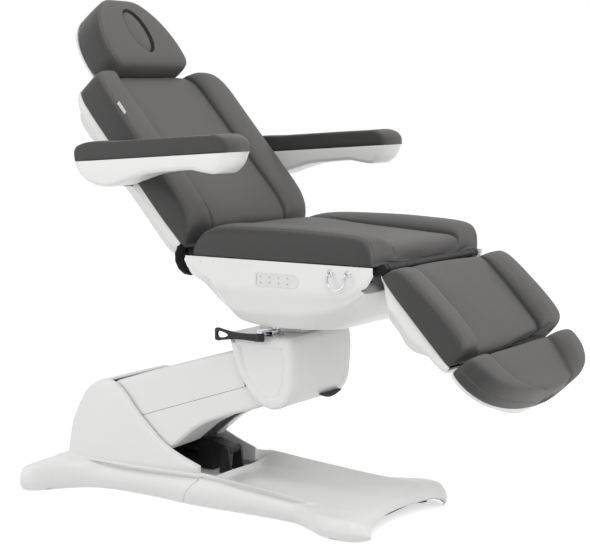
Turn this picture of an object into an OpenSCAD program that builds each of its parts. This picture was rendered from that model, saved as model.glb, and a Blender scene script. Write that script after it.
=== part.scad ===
// Electric spa treatment table: a parallelogram lift on a moulded base carries a swivel and
// a tilting seat, with a hinged back, head rest, armrests, leg rest and sliding foot rest.

/* [Upholstery] */
// Width of the seat, back and leg cushions
pad_w = 590; // [540:1:640]
// Length of the seat cushion
seat_l = 538; // [500:1:600]
// Thickness of the seat cushion at its side bolsters
seat_t = 87; // [70:1:95]
// Length of the back cushion
back_l = 560; // [520:1:600]
// Thickness of the back cushion at its side bolsters
back_t = 92; // [70:1:110]
// Length of the leg cushion
leg_l = 272; // [240:1:300]
// Thickness of the leg cushion at its side bolsters
leg_t = 80; // [60:1:95]
// Length of the foot cushion
foot_l = 148; // [120:1:180]
// Thickness of the foot cushion's rim
foot_t = 78; // [60:1:90]
// Length of the head cushion
head_l = 246; // [220:1:280]
// Width of the head cushion
head_w = 346; // [300:1:380]
// Thickness of the head cushion
head_t = 105; // [90:1:125]
// Length of the oval breathing hole
face_l = 154; // [130:1:165]
// Width of the oval breathing hole
face_w = 92; // [70:1:110]
// Distance between the sewn channels
seam_w = 344; // [300:1:380]

/* [Posture] */
// Slope of the back above the horizontal
back_rise = 48.35; // [30:0.05:60]
// Slope of the leg rest below the horizontal
leg_drop = 47.4; // [30:0.1:60]
// Slope of the lift arm above the horizontal
arm_rise = 18.4; // [12:0.1:24]
// Forward lean of the head rest from the back
head_lean = 6; // [0:0.5:12]
// Slope of the armrests above the horizontal
rest_rise = 3.8; // [0:0.1:8]

/* [Lift] */
// Distance between the lift arm's two pivots
arm_l = 506; // [480:1:560]
// Width of the lift arm's covers
arm_w = 254; // [240:1:260]
// Height of the arm's lower pivot above the floor
pivot_z = 225; // [215:1:240]
// Drop from each arm pivot to the parallel link's pivot
link_drop = 60; // [55:1:64]
// Diameter of the lift's pivot pins
pin_d = 16; // [12:1:20]
// Radius of the crank that the lift actuator pulls
crank_r = 115; // [110:1:120]
// Height of the carrier's top above its pivot
carrier_h = 100; // [98:1:110]
// Width over the carrier's end caps
carrier_w = 302; // [295:1:320]

/* [Base] */
// Length of the base
base_l = 1105; // [1060:1:1200]
// Width over the rear feet
rear_foot_w = 638; // [600:1:700]
// Width over the front feet
front_foot_w = 568; // [540:1:640]
// Width of the base between its feet
waist_w = 366; // [350:1:400]
// Height of the base's side ridges
ridge_h = 84; // [76:1:95]
// Height of the tower above the floor
tower_h = 314; // [300:1:330]
// Width over the tower's cheeks
tower_w = 296; // [290:1:304]

/* [Seat] */
// Depth of the moulded pan under the seat
pan_depth = 190; // [180:1:210]
// Gap between the carrier and the pan's keel, which the swivel block fills
swivel_gap = 31; // [28:1:36]
// Wall of the moulded covers
wall = 4; // [3:0.5:5]
// Distance over the outer sides of the armrests
arm_span = 860; // [840:1:900]
// Width of one armrest
rest_w = 100; // [80:1:110]
// Length of one armrest
rest_l = 560; // [500:1:600]

/* [Hidden] */

// Colours
leather = "#6f6e6c";
white = "#efeeed";
black = "#1c1c1e";
steel = "#8d9194";
chrome = "#c8cbcf";

// Fits and small sizes that many pieces share
over = 2;
seat_gap = 0.3;
bore_fit = 0.05;
slide_fit = 0.3;
round_fn = 48;
lift_low = 20;
lift_high = 16;
back_down = 48;
back_up = 27;
leg_down = 18;
leg_up = 47;

// Where things stand, measured from the middle of the seat, the floor and the centre plane
seat_front = 260;
seat_rear = seat_front - seat_l;
swivel_x = -160;
pivot_x = swivel_x - arm_l * cos(arm_rise);
carrier_z = pivot_z + arm_l * sin(arm_rise);
carrier_top = carrier_z + carrier_h;
keel_z = carrier_top + swivel_gap;
seat_z = keel_z + pan_depth;
hinge_drop = 6;
hinge_z = seat_z - hinge_drop;
back_hinge_x = seat_rear - 2 * hinge_drop;
leg_hinge_out = 10;
leg_hinge_x = seat_front + leg_hinge_out;
base_behind = 250;
base_rear = pivot_x - base_behind;
leg_gap = 22;
foot_gap = 17;
foot_x = leg_gap + leg_l + foot_gap;
tip_reach = leg_hinge_x + (foot_x + foot_l) * cos(leg_drop) + foot_t * sin(leg_drop) * 0.7;
origin_x = -(base_rear + tip_reach) / 2;

// Shape helpers

// Outline of x and z points as a ring at a given y
function at_y(points, y) = [for (p = points) [p[0], y, p[1]]];

// Mirror a half outline, which ends on the centre line, into a full one
function both_sides(half) = concat(half, [for (i = [len(half) - 2:-1:0]) [-half[i][0], half[i][1]]]);

function reversed(r) = [for (i = [len(r) - 1:-1:0]) r[i]];

// Points scaled from shares
function sized(shares, x_size, y_size) = [for (s = shares) [s[0] * x_size, s[1] * y_size]];

// Outline moved inwards by d, for an outline that runs clockwise
function unit(v) = v / max(norm(v), 1e-6);
function turned(v) = [v[1], -v[0]];
function inset(points, d) = let (n = len(points)) [
    for (i = [0:n - 1])
        let (a = unit(points[i] - points[(i + n - 1) % n]), b = unit(points[(i + 1) % n] - points[i]))
        let (m = unit(turned(a) + turned(b)), c = max(m * turned(a), 0.5))
        points[i] + m * d / c
];

// Smooth curve through points, with n steps between neighbours
function between(a, b, c, d, t) = 0.5 * (2 * b + (c - a) * t + (2 * a - 5 * b + 4 * c - d) * t * t
    + (3 * b - a - 3 * c + d) * t * t * t);
function curve(p, n) = [
    for (i = [0:len(p) - 2], k = [0:n - 1])
        between(p[max(i - 1, 0)], p[i], p[i + 1], p[min(i + 2, len(p) - 1)], k / n),
    p[len(p) - 1]
];

// Closed solid from points and triangles, with its faces turned outwards
function signed_volume(p, f) = let (v = [for (t = f) p[t[0]] * cross(p[t[1]], p[t[2]])]) v * [for (x = v) 1];
module solid(p, f)
    polyhedron(p, signed_volume(p, f) < 0 ? f : [for (t = f) [t[2], t[1], t[0]]], convexity = 8);

// Solid through closed rings of equal length
function middle(r) = [for (k = [0:2]) [for (p = r) p[k]] * [for (p = r) 1 / len(r)]];
module loft(rings) {
    n = len(rings[0]);
    m = len(rings);
    side = [for (i = [0:m - 2], j = [0:n - 1]) let (a = i * n + j, b = i * n + (j + 1) % n)
        each [[a, b, b + n], [a, b + n, a + n]]];
    caps = [for (j = [0:n - 1]) let (b = (j + 1) % n, e = (m - 1) * n)
        each [[m * n, b, j], [m * n + 1, e + j, e + b]]];
    solid(concat([for (r = rings) each r], [middle(rings[0]), middle(rings[m - 1])]), concat(side, caps));
}

// Moulded wall between an outer and an inner grid of points of equal size
module moulded(outer, inner) {
    m = len(outer);
    n = len(outer[0]);
    k = m * n;
    skin = [for (i = [0:m - 2], j = [0:n - 2]) let (a = i * n + j) each [[a, a + 1, a + n + 1], [a,
        a + n + 1, a + n]]];
    lining = [for (t = skin) [t[2] + k, t[1] + k, t[0] + k]];
    border = concat([for (j = [0:n - 1]) j], [for (i = [1:m - 1]) i * n + n - 1],
        [for (j = [n - 2:-1:0]) (m - 1) * n + j], [for (i = [m - 2:-1:1]) i * n]);
    rim = [for (q = [0:len(border) - 1]) let (a = border[q], b = border[(q + 1) % len(border)])
        each [[a, a + k, b + k], [a, b + k, b]]];
    solid(concat([for (r = outer) each r], [for (r = inner) each r]), concat(skin, lining, rim));
}

// Slab with a rounded outer edge: an outline in x and z, thick from y0 to y1, rounded at y1
edge_shares = [[0, 0], [0.45, 0.06], [0.8, 0.32], [1, 1]];
module pillow(outline, y0, y1, r)
    loft(concat([at_y(outline, y0)],
        [for (e = edge_shares) at_y(inset(outline, e[1] * r), y1 - sign(y1 - y0) * (1 - e[0]) * r)]));

// The same with both edges rounded, centred on y = 0
module slab(outline, half, r) {
    edge = [for (e = edge_shares) [inset(outline, e[1] * r), half - (1 - e[0]) * r]];
    n = len(edge);
    loft(concat([for (i = [n - 1:-1:0]) at_y(edge[i][0], -edge[i][1])], [for (e = edge) at_y(e[0], e[1])]));
}

// Outline in x and z made into a plate from y0 to y1
module plate(y0, y1)
    translate([0, y1, 0]) rotate([90, 0, 0]) linear_extrude(y1 - y0) children();

// Flat strap between two places, round at both, and a tab from a round eye to a straight base
neck_share = 0.94;
module strap(a, b, ra, rb) {
    side = turned(unit(b - a)) * neck_share;
    translate(a) circle(r = ra, $fn = round_fn);
    translate(b) circle(r = rb, $fn = round_fn);
    polygon([a + side * ra, b + side * rb, b - side * rb, a - side * ra]);
}
module tab(eye, r, x0, x1, z) {
    translate(eye) circle(r = r, $fn = round_fn);
    polygon([eye - [r, 0], eye + [r, 0], [x1, z], [x0, z]]);
}

// Rods along y and x, a straight-sided bar, and a piece with its mirror image
module rod_y(r, y0, y1) translate([0, y0, 0]) rotate([-90, 0, 0]) cylinder(r = r, h = y1 - y0,
    $fn = round_fn);
module rod_x(r, x0, x1) translate([x0, 0, 0]) rotate([0, 90, 0]) cylinder(r = r, h = x1 - x0, $fn = round_fn);
module bar(x0, x1, y0, y1, z0, z1) translate([x0, y0, z0]) cube([x1 - x0, y1 - y0, z1 - z0]);
module mirrored() {
    children();
    mirror([0, 1, 0]) children();
}

// Frames of the moving sections
module table() translate([origin_x, 0, 0]) children();
module at_back() table() translate([back_hinge_x, 0, hinge_z]) rotate([0, back_rise, 0]) children();
module at_leg() table() translate([leg_hinge_x, 0, hinge_z]) rotate([0, leg_drop, 0]) children();
module at_arm() table() translate([pivot_x, 0, pivot_z]) rotate([0, -arm_rise, 0]) children();
module at_carrier() table() translate([swivel_x, 0, carrier_z]) children();

// Base: chassis, covers, feet and control box

lane_y = 40;
link_boss_y = 15;
boss_r = 14;
link_z = pivot_z - link_drop;
rail_y = 74;
rail_w = 34;
rail_z0 = 12;
rail_z1 = 38;
cross_w = 44;
foot_disc_r = 24;
foot_disc_h = 8;
foot_stem_r = 8;
foot_inset = 50;
base_front = base_rear + base_l;
rear_bar_x = base_rear + foot_inset;
front_bar_in = 90;
front_bar_x = base_front - front_bar_in;
rear_foot_y = rear_foot_w / 2 - foot_inset;
front_foot_y = front_foot_w / 2 - foot_inset;
actuator_r = 21;
motor_r = 20;
yoke_pin_r = 7;
eye_pin_r = 6;
actuator_z = pivot_z - crank_r * (1 + cos((lift_low + lift_high) / 2)) / 2;
actuator_reach = 250;
actuator_tail_x = pivot_x + actuator_reach;
clevis_y = 26;
clevis_t = 8;
cheek_y = 100;
cheek_t = 10;
cheek_foot_half = 52;
cheek_top_r = 26;
cheek_boss = 30;
pin_end = 3;

module base_chassis() color(black) table() {
    difference() {
        union() {
            mirrored() {
                bar(rear_bar_x, front_bar_x, rail_y, rail_y + rail_w, rail_z0, rail_z1);
                plate(cheek_y, cheek_y + cheek_t) tab([pivot_x, pivot_z], cheek_top_r,
                    pivot_x - cheek_foot_half, pivot_x + cheek_foot_half, rail_z1 - over);
                translate([pivot_x, 0, pivot_z]) rod_y(pin_d, cheek_y - cheek_boss, cheek_y + over);
            }
            translate([pivot_x, 0, link_z]) rod_y(boss_r, -cheek_y - over, -lane_y - link_boss_y - seat_gap);
            bar(rear_bar_x - cross_w / 2, rear_bar_x + cross_w / 2, -rear_foot_y, rear_foot_y, rail_z0,
                rail_z1);
            bar(front_bar_x - cross_w / 2, front_bar_x + cross_w / 2, -front_foot_y, front_foot_y,
                rail_z0, rail_z1);
            bar(actuator_tail_x - cross_w / 2, actuator_tail_x + cross_w / 2, -rail_y - over, rail_y + over,
                rail_z0, rail_z1);
            translate([0, lane_y, 0]) mirrored() plate(clevis_y, clevis_y + clevis_t)
                tab([actuator_tail_x, actuator_z], 2 * eye_pin_r,
                    actuator_tail_x - cross_w / 2, actuator_tail_x + cross_w / 2, rail_z1 - over);
        }
        translate([pivot_x, 0, pivot_z]) rod_y(pin_d / 2 + bore_fit, -tower_w / 2, tower_w / 2);
        translate([pivot_x, 0, link_z]) rod_y(pin_d / 2 + bore_fit, -tower_w / 2, 0);
        translate([actuator_tail_x, 0, actuator_z]) rod_y(eye_pin_r + bore_fit, -rail_y, rail_y);
    }
}

module levelling_feet() color(black) table()
    for (p = [[rear_bar_x, rear_foot_y - cross_w / 2], [front_bar_x, front_foot_y - cross_w / 2]])
        mirrored() translate([p[0], p[1], 0]) {
            cylinder(r = foot_disc_r, h = foot_disc_h, $fn = round_fn);
            cylinder(r = foot_stem_r, h = rail_z0, $fn = round_fn);
        }

control_w = 170;
control_l = 88;
control_h = 40;
control_r = 6;
module control_box() color(black) table()
    translate([rear_bar_x + cross_w / 2 + control_r, -control_w / 2, rail_z1])
        linear_extrude(control_h) {
            translate([control_r, 0]) square([control_l - 2 * control_r, control_w]);
            translate([0, control_r]) square([control_l, control_w - 2 * control_r]);
            for (x = [control_r, control_l - control_r], y = [control_r, control_w - control_r])
                translate([x, y]) circle(r = control_r, $fn = round_fn);
        }

// Base cover across a station: share of the length, half width, height of the foot's top,
// height of the ridge, height of the middle, and how far the middle is drawn back
cover_shares = [
    [0, 0.955, 0.30, 0.36, 0.36, 0], [0.002, 0.965, 0.66, 0.70, 0.70, 0], [0.014, 1, 0.86, 0.92, 0.92, 0],
    [0.04, 0.985, 0.90, 0.98, 0.98, 0], [0.075, 0.84, 0.92, 0.99, 0.99, 0], [0.11, 0.69, 0.93, 0.97, 0.95, 0],
    [0.16, 0.575, 0.92, 0.97, 0.90, 0], [0.25, 0.53, 0.90, 1, 0.90, 0], [0.35, 0.54, 0.92, 1.02, 0.88, 0],
    [0.44, 0.57, 0.98, 1.1, 0.78, 0], [0.49, 0.575, 1.0, 1.12, 0.62, 0], [0.52, 0.576, 1.0, 1.1, 0.6, 0],
    [0.61, 0.575, 0.92, 1.0, 0.6, 0], [0.70, 0.58, 0.84, 0.92, 0.6, 0.02], [0.77, 0.61, 0.76, 0.86, 0.6,
        0.06],
    [0.83, 0.72, 0.72, 0.82, 0.62, 0.14], [0.88, 0.84, 0.72, 0.80, 0.66, 0.30], [0.93, 0.89, 0.74, 0.80,
        0.7, 0.52],
    [0.965, 0.87, 0.72, 0.76, 0.7, 0.74], [0.99, 0.80, 0.58, 0.62, 0.6, 0.92], [1, 0.72, 0.3, 0.36, 0.36, 1]
];
seam_row = 9;
notch = 46;
cover_lift = 4;
seam_lean = 62;
ridge_in = 18;
ridge_y = waist_w / 2 - ridge_in;
hem = 8;
side_lean = 4;
shoulder = 14;
ridge_step = 10;
ridge_fall = 34;
cover_least = 5;
function cover_half(w, foot, ridge, mid) = [
    [-w + hem, cover_lift], [-w, foot * 0.45], [-w + side_lean, foot * 0.72], [-w + shoulder, foot * 0.93],
    [-(w * 0.7 + ridge_y * 0.3) + shoulder, foot], [-ridge_y - ridge_step, (foot + ridge) / 2],
        [-ridge_y, ridge],
    [-ridge_y + shoulder, ridge * 0.7 + mid * 0.3], [-ridge_y + ridge_fall, mid], [0, mid]
];
function cover_w(s) = s[1] * (s[0] < 0.5 ? rear_foot_w : mix(rear_foot_w, front_foot_w, min(1,
    (s[0] - 0.5) * 2.5))) / 2;
function mix(a, b, t) = a + (b - a) * t;
function cover_row(s, thin, lean) = let (
    w = cover_w(s) - thin, x = base_rear + s[0] * base_l,
    h = [for (k = [2:4]) max(s[k] * ridge_h - thin, cover_least)],
    half = cover_half(w, h[0], h[1], h[2]))
    [for (p = both_sides(half)) [
        min(max(x, base_rear + thin), base_front - thin) + lean * p[1] / ridge_h
            - s[5] * notch * (1 - pow(p[0] / w, 2)), p[0], p[1]]];
module skirt(rows) moulded(
    [for (i = rows) cover_row(cover_shares[i], 0, i == seam_row ? seam_lean : 0)],
    [for (i = rows) cover_row(cover_shares[i], wall, i == seam_row ? seam_lean : 0)]);

module front_base_cover() color(white) table()
    translate([seat_gap, 0, 0]) skirt([seam_row:len(cover_shares) - 1]);

// Tower cheek outline: shares of the tower's length and height
cheek_shares = [
    [0, 0.27], [0.045, 0.585], [0.1, 0.755], [0.163, 0.892], [0.242, 0.975], [0.308, 1], [0.374, 0.98],
    [0.446, 0.9], [0.53, 0.76], [0.64, 0.605], [0.74, 0.484], [0.85, 0.405], [1, 0.325], [1, 0.2], [0, 0.2]
];
cheek_l = 480;
cheek_back = 212;
cheek_x = pivot_x - cheek_back;
cheek_wall = 16;
roof_points = 6;
cheek_r = 12;
module rear_base_cover() color(white) table() {
    outline = [for (p = curve([for (i = [0:12]) cheek_shares[i]], 2)) p];
    ring = [for (p = concat(outline, [cheek_shares[13], cheek_shares[14]])) [cheek_x + p[0] * cheek_l,
        p[1] * tower_h]];
    inner = inset(ring, wall);
    difference() {
        skirt([0:seam_row]);
        bar(cheek_x + wall, pivot_x + 2 * base_behind, -tower_w / 2 + cheek_wall, tower_w / 2 - cheek_wall,
            -over, tower_h);
    }
    mirrored() pillow(ring, tower_w / 2 - cheek_wall, tower_w / 2, cheek_r);
    plate(-tower_w / 2 + cheek_wall, tower_w / 2 - cheek_wall)
        polygon(concat([for (i = [0:2 * roof_points - 1]) ring[i]],
            [for (i = [2 * roof_points - 1:-1:0]) inner[i]],
            [[cheek_x + wall, ring[0][1] * 0.7], [cheek_x, ring[0][1] * 0.7]]));
}

// Lift arm, parallel link and lift actuator

plate_y = 60;
plate_t = 8;
plate_r = 32;
tube_y = plate_y + plate_t;
brace_r = 12;
brace_shares = [0.35, 0.7];
cover_seam = -22;
crank_y = 20;
crank_t = 8;
crank_angle = -90 - arm_rise - (lift_high - lift_low) / 2;
crank_end = [crank_r * cos(crank_angle), crank_r * sin(crank_angle)];
module lift_arm_frame() color(black) at_arm() difference() {
    union() {
        mirrored() {
            plate(plate_y, tube_y) strap([0, 0], [arm_l, 0], plate_r, plate_r);
        }
        translate([0, lane_y, 0]) mirrored() plate(crank_y, crank_y + crank_t)
            strap([0, 0], crank_end, 2 * yoke_pin_r + crank_t, 2 * yoke_pin_r);
        for (x = [0, arm_l]) translate([x, 0, 0]) rod_y(pin_d, -tube_y, tube_y);
        for (s = brace_shares) translate([arm_l * s, 0, 0]) {
            translate([0, 0, brace_r]) rod_y(brace_r, -tube_y, tube_y);
            mirrored() translate([0, 0, cover_seam]) rod_y(brace_r, plate_y, arm_w / 2 - wall - seat_gap);
        }
        translate([crank_end[0], lane_y, crank_end[1]]) rod_y(yoke_pin_r, -crank_y - over, crank_y + over);
    }
    for (x = [0, arm_l]) translate([x, 0, 0]) rod_y(pin_d / 2 + bore_fit, -arm_w, arm_w);
}

// Side outline of the arm's covers: shares of the arm's length and of its cover radius
arm_r = 92;
upper_end = 76;
end_lean = 10;
module arm_skin(outline, cut) difference() {
    slab(outline, arm_w / 2, cheek_r);
    plate(-arm_w / 2 + wall, arm_w / 2 - wall) polygon(cut);
}
module arm_upper_cover() color(white) at_arm() {
    arc = [for (a = [194:-13:90]) [arm_r * cos(a), arm_r * sin(a)]];
    outline = concat(arc, [[arm_l * 0.4, arm_r * 0.94], [arm_l - upper_end, arm_r * 0.88],
        [arm_l - upper_end + end_lean, cover_seam], [arm_l * 0.4, cover_seam]]);
    arm_skin(outline, concat([for (i = [0:len(arc)]) inset(outline, wall)[i]],
        [[arm_l + arm_r, arm_r * 0.86 - wall], [arm_l + arm_r, cover_seam - over], [-arm_r + wall,
            cover_seam - over]]));
}
lower_shares = [[0.07, -0.32], [0.105, -1.3], [0.16, -1.5], [0.22, -1.48], [0.33, -1.27], [0.44, -1.06],
    [0.56, -0.96],
    [0.7, -0.94], [0.84, -0.95]];
belly_y = 80;
belly_end = 0.54;
module arm_lower_cover() color(white) at_arm() {
    bottom = sized(lower_shares, arm_l, arm_r);
    outline = concat([[arm_l - upper_end + end_lean, cover_seam - seat_gap], [arm_l - upper_end + wall,
        bottom[8][1]]],
        [for (i = [8:-1:1]) bottom[i]], [[bottom[0][0], cover_seam - seat_gap]]);
    inner = inset(outline, wall);
    difference() {
        arm_skin(outline, concat([[arm_l, arm_r]], [[arm_l, inner[1][1]]],
            [for (i = [2:len(inner) - 2]) inner[i]],
            [[-arm_r, inner[len(inner) - 2][1]], [-arm_r, arm_r]]));
        bar(-arm_r, arm_l * belly_end, -belly_y, belly_y, -2 * arm_r, -arm_r / 2);
        bar(-arm_r, arm_l * 0.25, -cheek_y - 2 * cheek_t, cheek_y + 2 * cheek_t, -2 * arm_r, -arm_r / 2);
    }
}

link_r = 10;
module parallel_link() color(steel) table() translate([pivot_x, -lane_y, link_z]) rotate([0, -arm_rise, 0])
    difference() {
        union() {
            rod_x(link_r, 0, arm_l);
            for (x = [0, arm_l]) translate([x, 0, 0]) rod_y(boss_r, -link_boss_y, link_boss_y);
        }
        for (x = [0, arm_l]) translate([x, 0, 0]) rod_y(pin_d / 2 + bore_fit, -arm_w, arm_w);
    }

pin_y = cheek_y + cheek_t + pin_end;
module lift_pins() color(chrome) table() {
    translate([pivot_x, 0, pivot_z]) rod_y(pin_d / 2, -pin_y, pin_y);
    translate([pivot_x, 0, link_z]) rod_y(pin_d / 2, -pin_y, -lane_y + link_boss_y);
}

module eye(r, l, half) plate(-gear_y, gear_y) {
    circle(r = r, $fn = round_fn);
    polygon([[0, r], [-l, half], [-l, -half], [0, -r]]);
}
gear_l = 52;
gear_y = 24;
tube_l = 84;
motor_share = 0.8;
rod_in = 56;
bore_extra = 15;
rod_r = 9;
module lift_actuator() color(black) table() translate([actuator_tail_x, lane_y, actuator_z]) {
    rod_y(eye_pin_r, -clevis_y - clevis_t, clevis_y + clevis_t);
    eye(2 * eye_pin_r, gear_l + over, gear_y);
    difference() {
        union() {
            bar(-2 * gear_l, -gear_l, -gear_y, gear_y, -actuator_r - 2 * motor_r, gear_y);
            rod_x(actuator_r, -2 * gear_l - tube_l, -2 * gear_l);
            translate([0, 0, over - actuator_r - motor_r]) rod_x(motor_r,
                -2 * gear_l - tube_l * motor_share, -2 * gear_l);
        }
        rod_x(rod_r + slide_fit, -2 * gear_l - tube_l - over, -2 * gear_l + bore_extra);
    }
}

// Rod with a slotted yoke around a crank pin, pulled along x: the slot takes up the pin's arc
yoke_half = 18;
yoke_wall = 7;
yoke_y = 14;
slot_fit = 1.5;
module yoke(pin_r, sag) difference() {
    bar(-yoke_half, yoke_half, -yoke_y, yoke_y, -pin_r - sag - yoke_wall, pin_r + sag + yoke_wall);
    plate(-yoke_y - over, yoke_y + over)
        strap([0, -sag - slot_fit], [0, sag + slot_fit], pin_r + slot_fit, pin_r + slot_fit);
}
lift_sag = crank_r * (1 - cos((lift_high + lift_low) / 2)) / 2;
module lift_rod() color(chrome) table()
    translate([pivot_x + crank_r * sin((lift_low - lift_high) / 2), lane_y, actuator_z]) {
        yoke(yoke_pin_r, lift_sag);
        rod_x(rod_r, yoke_half - over, actuator_reach - 2 * gear_l - tube_l + rod_in);
    }

// Carrier: frame on the arm's upper end, its covers, the swivel bearing and the lock lever

carrier_plate_y = 70;
carrier_plate_t = 10;
bearing_r = 30;
bearing_wall = 10;
bearing_h = 34;
bearing_top = 14;
top_plate_t = 12;
top_plate_l = 128;
frame_under = 18;
carrier_frame_z = carrier_h - frame_under;
module carrier_frame() color(black) at_carrier() difference() {
    union() {
        mirrored() {
            plate(carrier_plate_y, carrier_plate_y + carrier_plate_t) {
                strap([0, 0], [0, -link_drop], 2 * pin_d, pin_d);
                tab([0, 0], 2 * pin_d, -2 * pin_d, 3 * pin_d, carrier_frame_z - over);
            }
        }
        translate([0, 0, -link_drop]) rod_y(boss_r, -carrier_plate_y - over,
            -lane_y - link_boss_y - seat_gap);
        bar(-top_plate_l / 2, top_plate_l / 2, -carrier_plate_y - carrier_plate_t,
            carrier_plate_y + carrier_plate_t,
            carrier_frame_z - top_plate_t, carrier_frame_z);
        translate([0, 0, carrier_frame_z - bearing_h])
            cylinder(r = bearing_r + bearing_wall, h = bearing_h + bearing_top, $fn = round_fn);
    }
    translate([0, 0, carrier_frame_z - bearing_h - over])
        cylinder(r = bearing_r + bore_fit, h = bearing_h + bearing_top + 2 * over, $fn = round_fn);
    rod_y(pin_d / 2 + bore_fit, -carrier_w, carrier_w);
    translate([0, 0, -link_drop]) rod_y(pin_d / 2 + bore_fit, -carrier_w, 0);
}

carrier_pin_y = carrier_plate_y + carrier_plate_t + pin_end;
module carrier_pins() color(chrome) at_carrier() {
    rod_y(pin_d / 2, -carrier_pin_y, carrier_pin_y);
    translate([0, 0, -link_drop]) rod_y(pin_d / 2, -carrier_pin_y, -lane_y + link_boss_y);
}

// Carrier side outline: shares of its height above the pivot
carrier_shares = [
    [-1.08, 1], [-0.97, 0.64], [-0.79, 0.03], [-0.54, -0.35], [-0.26, -0.68], [0.02, -0.88],
    [0.37, -0.95], [0.72, -0.83], [0.92, -0.55], [1.03, 0.04], [1.03, 0.78], [0.99, 0.93], [0.92, 1]
];
sweep_shares = [[0, 0], [1.4, -1.7], [-2, -1.7], [-2, 1], [0, 1]];
cap_y = 117;
cap_wall = 21;
dish_share = 0.8;
dish_floor_share = 0.74;
dish_deep = 5;
arm_clear = 2;
bearing_clear = 1;
carrier_ring = reversed(sized(carrier_shares, carrier_h, carrier_h));
module arm_sweep(y0, y1) plate(y0, y1) polygon([for (s = sweep_shares)
    [s[0] * carrier_h, s[1] == 1 ? carrier_h - wall : s[1] * carrier_h]]);
module carrier_cover() color(white) at_carrier() difference() {
    plate(-cap_y + seat_gap, cap_y - seat_gap) difference() {
        polygon(carrier_ring);
        polygon(inset(carrier_ring, wall));
    }
    arm_sweep(-cap_y, cap_y);
    cylinder(r = bearing_r + bearing_wall + bearing_clear, h = 2 * carrier_h, $fn = round_fn);
}
function shrunk(r, share) = let (c = [0, carrier_h / 10]) [for (p = r) c + (p - c) * share];
module carrier_cap() difference() {
    inner = inset(carrier_ring, wall);
    loft(concat([at_y(inner, carrier_w / 2 - cap_wall), at_y(inner, cap_y), at_y(carrier_ring, cap_y)],
        [for (e = edge_shares) at_y(inset(carrier_ring, e[1] * cheek_r),
            carrier_w / 2 - (1 - e[0]) * cheek_r)],
        [at_y(shrunk(carrier_ring, dish_share), carrier_w / 2),
        at_y(shrunk(carrier_ring, dish_floor_share), carrier_w / 2 - dish_deep)]));
    arm_sweep(cap_y - over, arm_w / 2 + arm_clear);
}
module carrier_far_cap() color(white) at_carrier() carrier_cap();
module carrier_near_cap() color(white) at_carrier() mirror([0, 1, 0]) carrier_cap();

bumper_y = [-8, 104];
bumper_r = 9;
bumper_share = [0.896, -0.747];
module carrier_bumper() color(black) at_carrier()
    translate([carrier_h * bumper_share[0], 0, carrier_h * bumper_share[1]]) {
        rod_y(bumper_r, bumper_y[0], bumper_y[1]);
        for (y = bumper_y) translate([0, y, 0]) sphere(r = bumper_r, $fn = round_fn);
    }

block_l = 136;
block_w = 100;
block_h = 23;
tilt_z = 60;
tilt_crank = 75;
tilt_y = 34;
tilt_t = 10;
tilt_r = 18;
tilt_pin_r = 8;
tilt_crank_r = 6;
post_h = 46;
block_lift = 2.5;
block_z = keel_z - swivel_gap + block_lift;
module turntable() color(white) table() translate([swivel_x, 0, block_z]) difference() {
    union() {
        translate([0, 0, -post_h]) cylinder(r = bearing_r, h = post_h + over, $fn = round_fn);
        bar(-block_l / 2, block_l / 2, -block_w / 2, block_w / 2, 0, block_h);
        mirrored() plate(tilt_y, tilt_y + tilt_t) {
            strap([0, tilt_z], [0, tilt_z + tilt_crank], tilt_r, 2 * tilt_crank_r);
            tab([0, tilt_z], tilt_r, -block_l / 4, block_l / 4, block_h - over);
        }
        translate([0, 0, tilt_z]) rod_y(tilt_pin_r, -2 * tilt_y + tilt_t, 2 * tilt_y - tilt_t);
        translate([0, 0, tilt_z + tilt_crank]) rod_y(tilt_crank_r, -tilt_y - over, tilt_y + over);
    }
}

lever_pin_r = 5;
lever_boss_r = 11;
lever_x = 12;
lever_clear = 4;
lever_y = carrier_w / 2 + lever_boss_r + lever_clear;
lever_l = 146;
lever_t = 8;
lever_boss_h = 22;
clamp_z = carrier_h;
clamp_w = 52;
clamp_foot_y = block_l * 0.66;
clamp_step = 6;
clamp_levels = [0, 5, 16];
clamp_back = 8;
tongue = [12, 19];
tongue_back = 14;
knob_in = 14;
knob_back = 22;
knob_r = 9;
knob_h = 14;
pin_under = 14;
pin_l = 27;
module lever_clamp() color(chrome) at_carrier() translate([lever_x, 0, clamp_z]) {
    bar(-clamp_w / 2, clamp_w / 2, -carrier_w / 2 + cheek_r, -clamp_foot_y, clamp_levels[0], clamp_levels[1]);
    bar(-clamp_w / 2 + clamp_step, clamp_w / 2 - clamp_step, -carrier_w / 2 + cheek_r + wall,
        -clamp_foot_y - clamp_back,
        clamp_levels[1], clamp_levels[2]);
    bar(-lever_boss_r, lever_boss_r, -lever_y, -clamp_foot_y - tongue_back, tongue[0], tongue[1]);
    translate([0, -lever_y, tongue[0]]) cylinder(r = lever_boss_r, h = tongue[1] - tongue[0], $fn = round_fn);
    translate([0, -lever_y, -pin_under]) cylinder(r = lever_pin_r, h = pin_l, $fn = round_fn);
    translate([clamp_w / 2 - knob_in, -clamp_foot_y - knob_back, clamp_levels[2]]) cylinder(r = knob_r,
        h = knob_h, $fn = round_fn);
}
lever_shares = [[0, 0.32], [0.3, 0.26], [0.55, 0.28], [0.8, 0.42], [0.97, 0.5], [1, 0.42], [1, -0.42],
    [0.97, -0.5],
    [0.8, -0.42], [0.55, -0.28], [0.3, -0.26], [0, -0.32]];
hole_shares = [[0.7, 0], [0.76, 0.16], [0.93, 0.22], [0.95, 0], [0.93, -0.22], [0.76, -0.16]];
lever_h = 34;
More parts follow.
